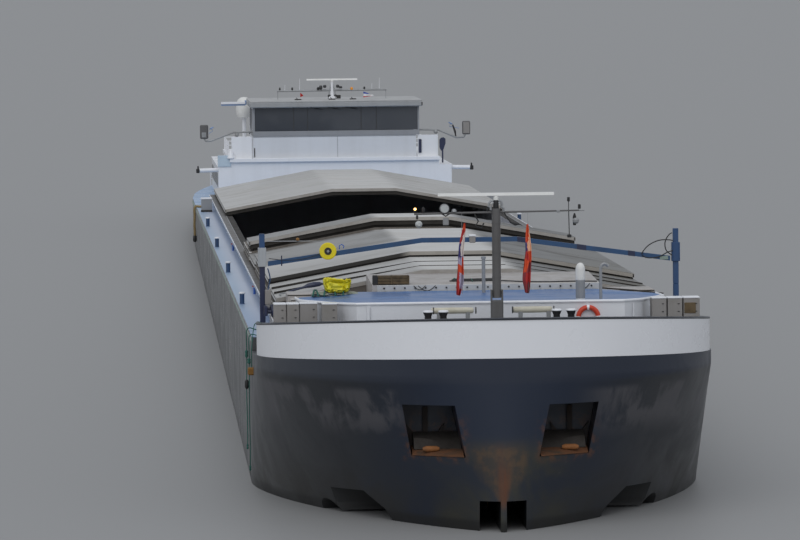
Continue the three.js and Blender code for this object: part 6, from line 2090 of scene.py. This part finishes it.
def bridge_top():
    y = at(SCANNER_STATION)
    yard_z = ROOF_Z + 0.036
    bar = Shape().box((-0.014, y - 0.014, ROOF_Z + 0.0003), (0.014, y + 0.014, ROOF_Z + 0.014), 0.002)
    bar.turned([(0.009, 0), (0.006, 0.02), (0.0055, 0.057)], (0, y, ROOF_Z + 0.013), "z", 18)
    bar.place("roof_mast_bar", "band", body="wheelhouse", replaces=("roof_mast",))
    yard = Shape().tube([(-0.2215, y, ROOF_Z + 0.034), (0.2195, y, yard_z)], 0.0042, 10)
    for x in (-0.2185, 0.2165):
        yard.upright(x, y, ROOF_Z, ROOF_Z + 0.035, 0.0012, 8)
    for side in (-1, 1):
        yard.tube([(side * 0.016, y - 0.004, ROOF_Z), (side * 0.01, y - 0.002, yard_z),
                   (side * 0.004, y, ROOF_Z + 0.06)], 0.0022, 8)
    yard.place("roof_yard", "fitting", body="wheelhouse")
    cluster = Shape()
    for x, z, r in HORNS:
        cluster.turned([(r * 0.6, -0.006), (r, -0.003), (r, 0.004), (r * 0.5, 0.007)],
                       (x, y - 0.01, z), "x", 14)
    cluster.place("roof_horns", "console", body="wheelhouse")
    radar = Shape().turned([(0.007, 0), (0.007, 0.005), (0.005, 0.0065)], (0, y, ROOF_Z + 0.0703), "z", 18)
    radar.across([(y - 0.005, 0.8742), (y - 0.0035, 0.8805), (y + 0.0035, 0.8807), (y + 0.005, 0.8745)],
                 (-0.102, -0.1, 0.1, 0.102))
    radar.place("roof_radar_bar", "plastic", body="roof_radar", replaces=("roof_radar",))
    whips = Shape()
    for x, top in WHIPS:
        whips.tube([(x, y, ROOF_Z + 0.034), (x + 0.001, y, top)], [0.0011, 0.0006], 6)
    whips.place("roof_whips", "band", body="wheelhouse")
    lamps = Shape()
    for x, r in YARD_TOP_LAMPS:
        lamps.turned([(r, 0), (r, 0.008), (r * 0.6, 0.012)], (x, y, yard_z), "z", 14)
    lamps.box((0.018, y - 0.02, ROOF_Z + 0.002), (0.034, y - 0.016, ROOF_Z + 0.016), 0.001)
    lamps.place("roof_lamps", "rubber", body="wheelhouse")
    amber = Shape().turned([(0.0055, 0), (0.006, 0.006), (0.003, 0.011)], (0.079, y, yard_z), "z", 16)
    amber.place("roof_amber_lamp", "amber", body="wheelhouse")
    for name, x, z, width, drop, finish in ROOF_FLAGS:
        rows = []
        for share in (row / 8 for row in range(9)):
            rows.append([(x + width * u, y - 0.003 + 0.002 * math.sin(9 * u + 3 * share),
                          z - drop * (share * (1 - 0.85 * u) + 0.6 * u))
                         for u in (i / 12 for i in range(13))])
        flag = Shape().loft(rows, closed=False).place(name, finish, body="wheelhouse", angle=80, solid=False)


def helm():
    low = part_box("helm")[0]
    front = at(9.3)
    desk = Shape().across([(front, low.z + 0.001), (front, 0.65), (front + 0.045, 0.64),
                           (front + 0.045, low.z + 0.001)], (-0.13, 0.13))
    desk.box((-0.04, front, low.z), (0.04, at(9.45), low.z + 0.003), 0.001)
    desk.place("helm_desk", "console", body="wheelhouse", replaces=("helm",))
    chair = Shape().turned([(0.016, 0), (0.016, 0.003), (0.005, 0.006), (0.005, 0.03)],
                           (0, at(9.42), low.z), "z", 16)
    chair.box((-0.023, at(9.398), low.z + 0.028), (0.023, at(9.446), low.z + 0.042), 0.005)
    chair.box((-0.021, at(9.44), low.z + 0.03), (0.021, at(9.451), low.z + 0.099), 0.004)
    chair.place("helm_chair", "rubber", body="wheelhouse")
    screens = Shape()
    for x in (-0.085, -0.03, 0.03, 0.085):
        screens.box((x - 0.022, at(9.318), 0.648), (x + 0.022, at(9.322), 0.652), 0.0008)
    screens.place("helm_screens", "glass", body="wheelhouse")


def anchors():
    for word in ("starboard", "port"):
        dress(f"anchor_{word}", "anchor", 0.0015)


make_camera()
make_light()
bow()
forecastle()
trunk()
trunk_fittings()
folded_net()
lockers()
bow_bollards()
windlass()
life_ring()
crate()
bag()
mast()
flags()
hull_sides()
side_lines()
hold()
covers()
plate_lips()
hatch_end()
hatch_platform()
gantry()
plain_boxes()
gantry_cables()
platform_cable()
slack_loops()
loose_bar()
deckhouse()
railings()
stern()
underwater()
wheelhouse()
bridge_roof()
mirrors()
house_top()
bridge_top()
helm()
anchors()

water = bpy.data.meshes.new("floor")
fore, aft = water_z(-100 + LENGTH / 2), water_z(100 + LENGTH / 2)
water.from_pydata([(-100, -100, fore), (100, -100, fore), (100, 100, aft), (-100, 100, aft)], [],
                  [(0, 1, 2, 3)])
floor_tree = Tree("floor")
water.materials.append(floor_tree.finish((0.3, 0.3, 0.3), 0.55))
floor = bpy.data.objects.new("floor", water)
bpy.context.scene.collection.objects.link(floor)
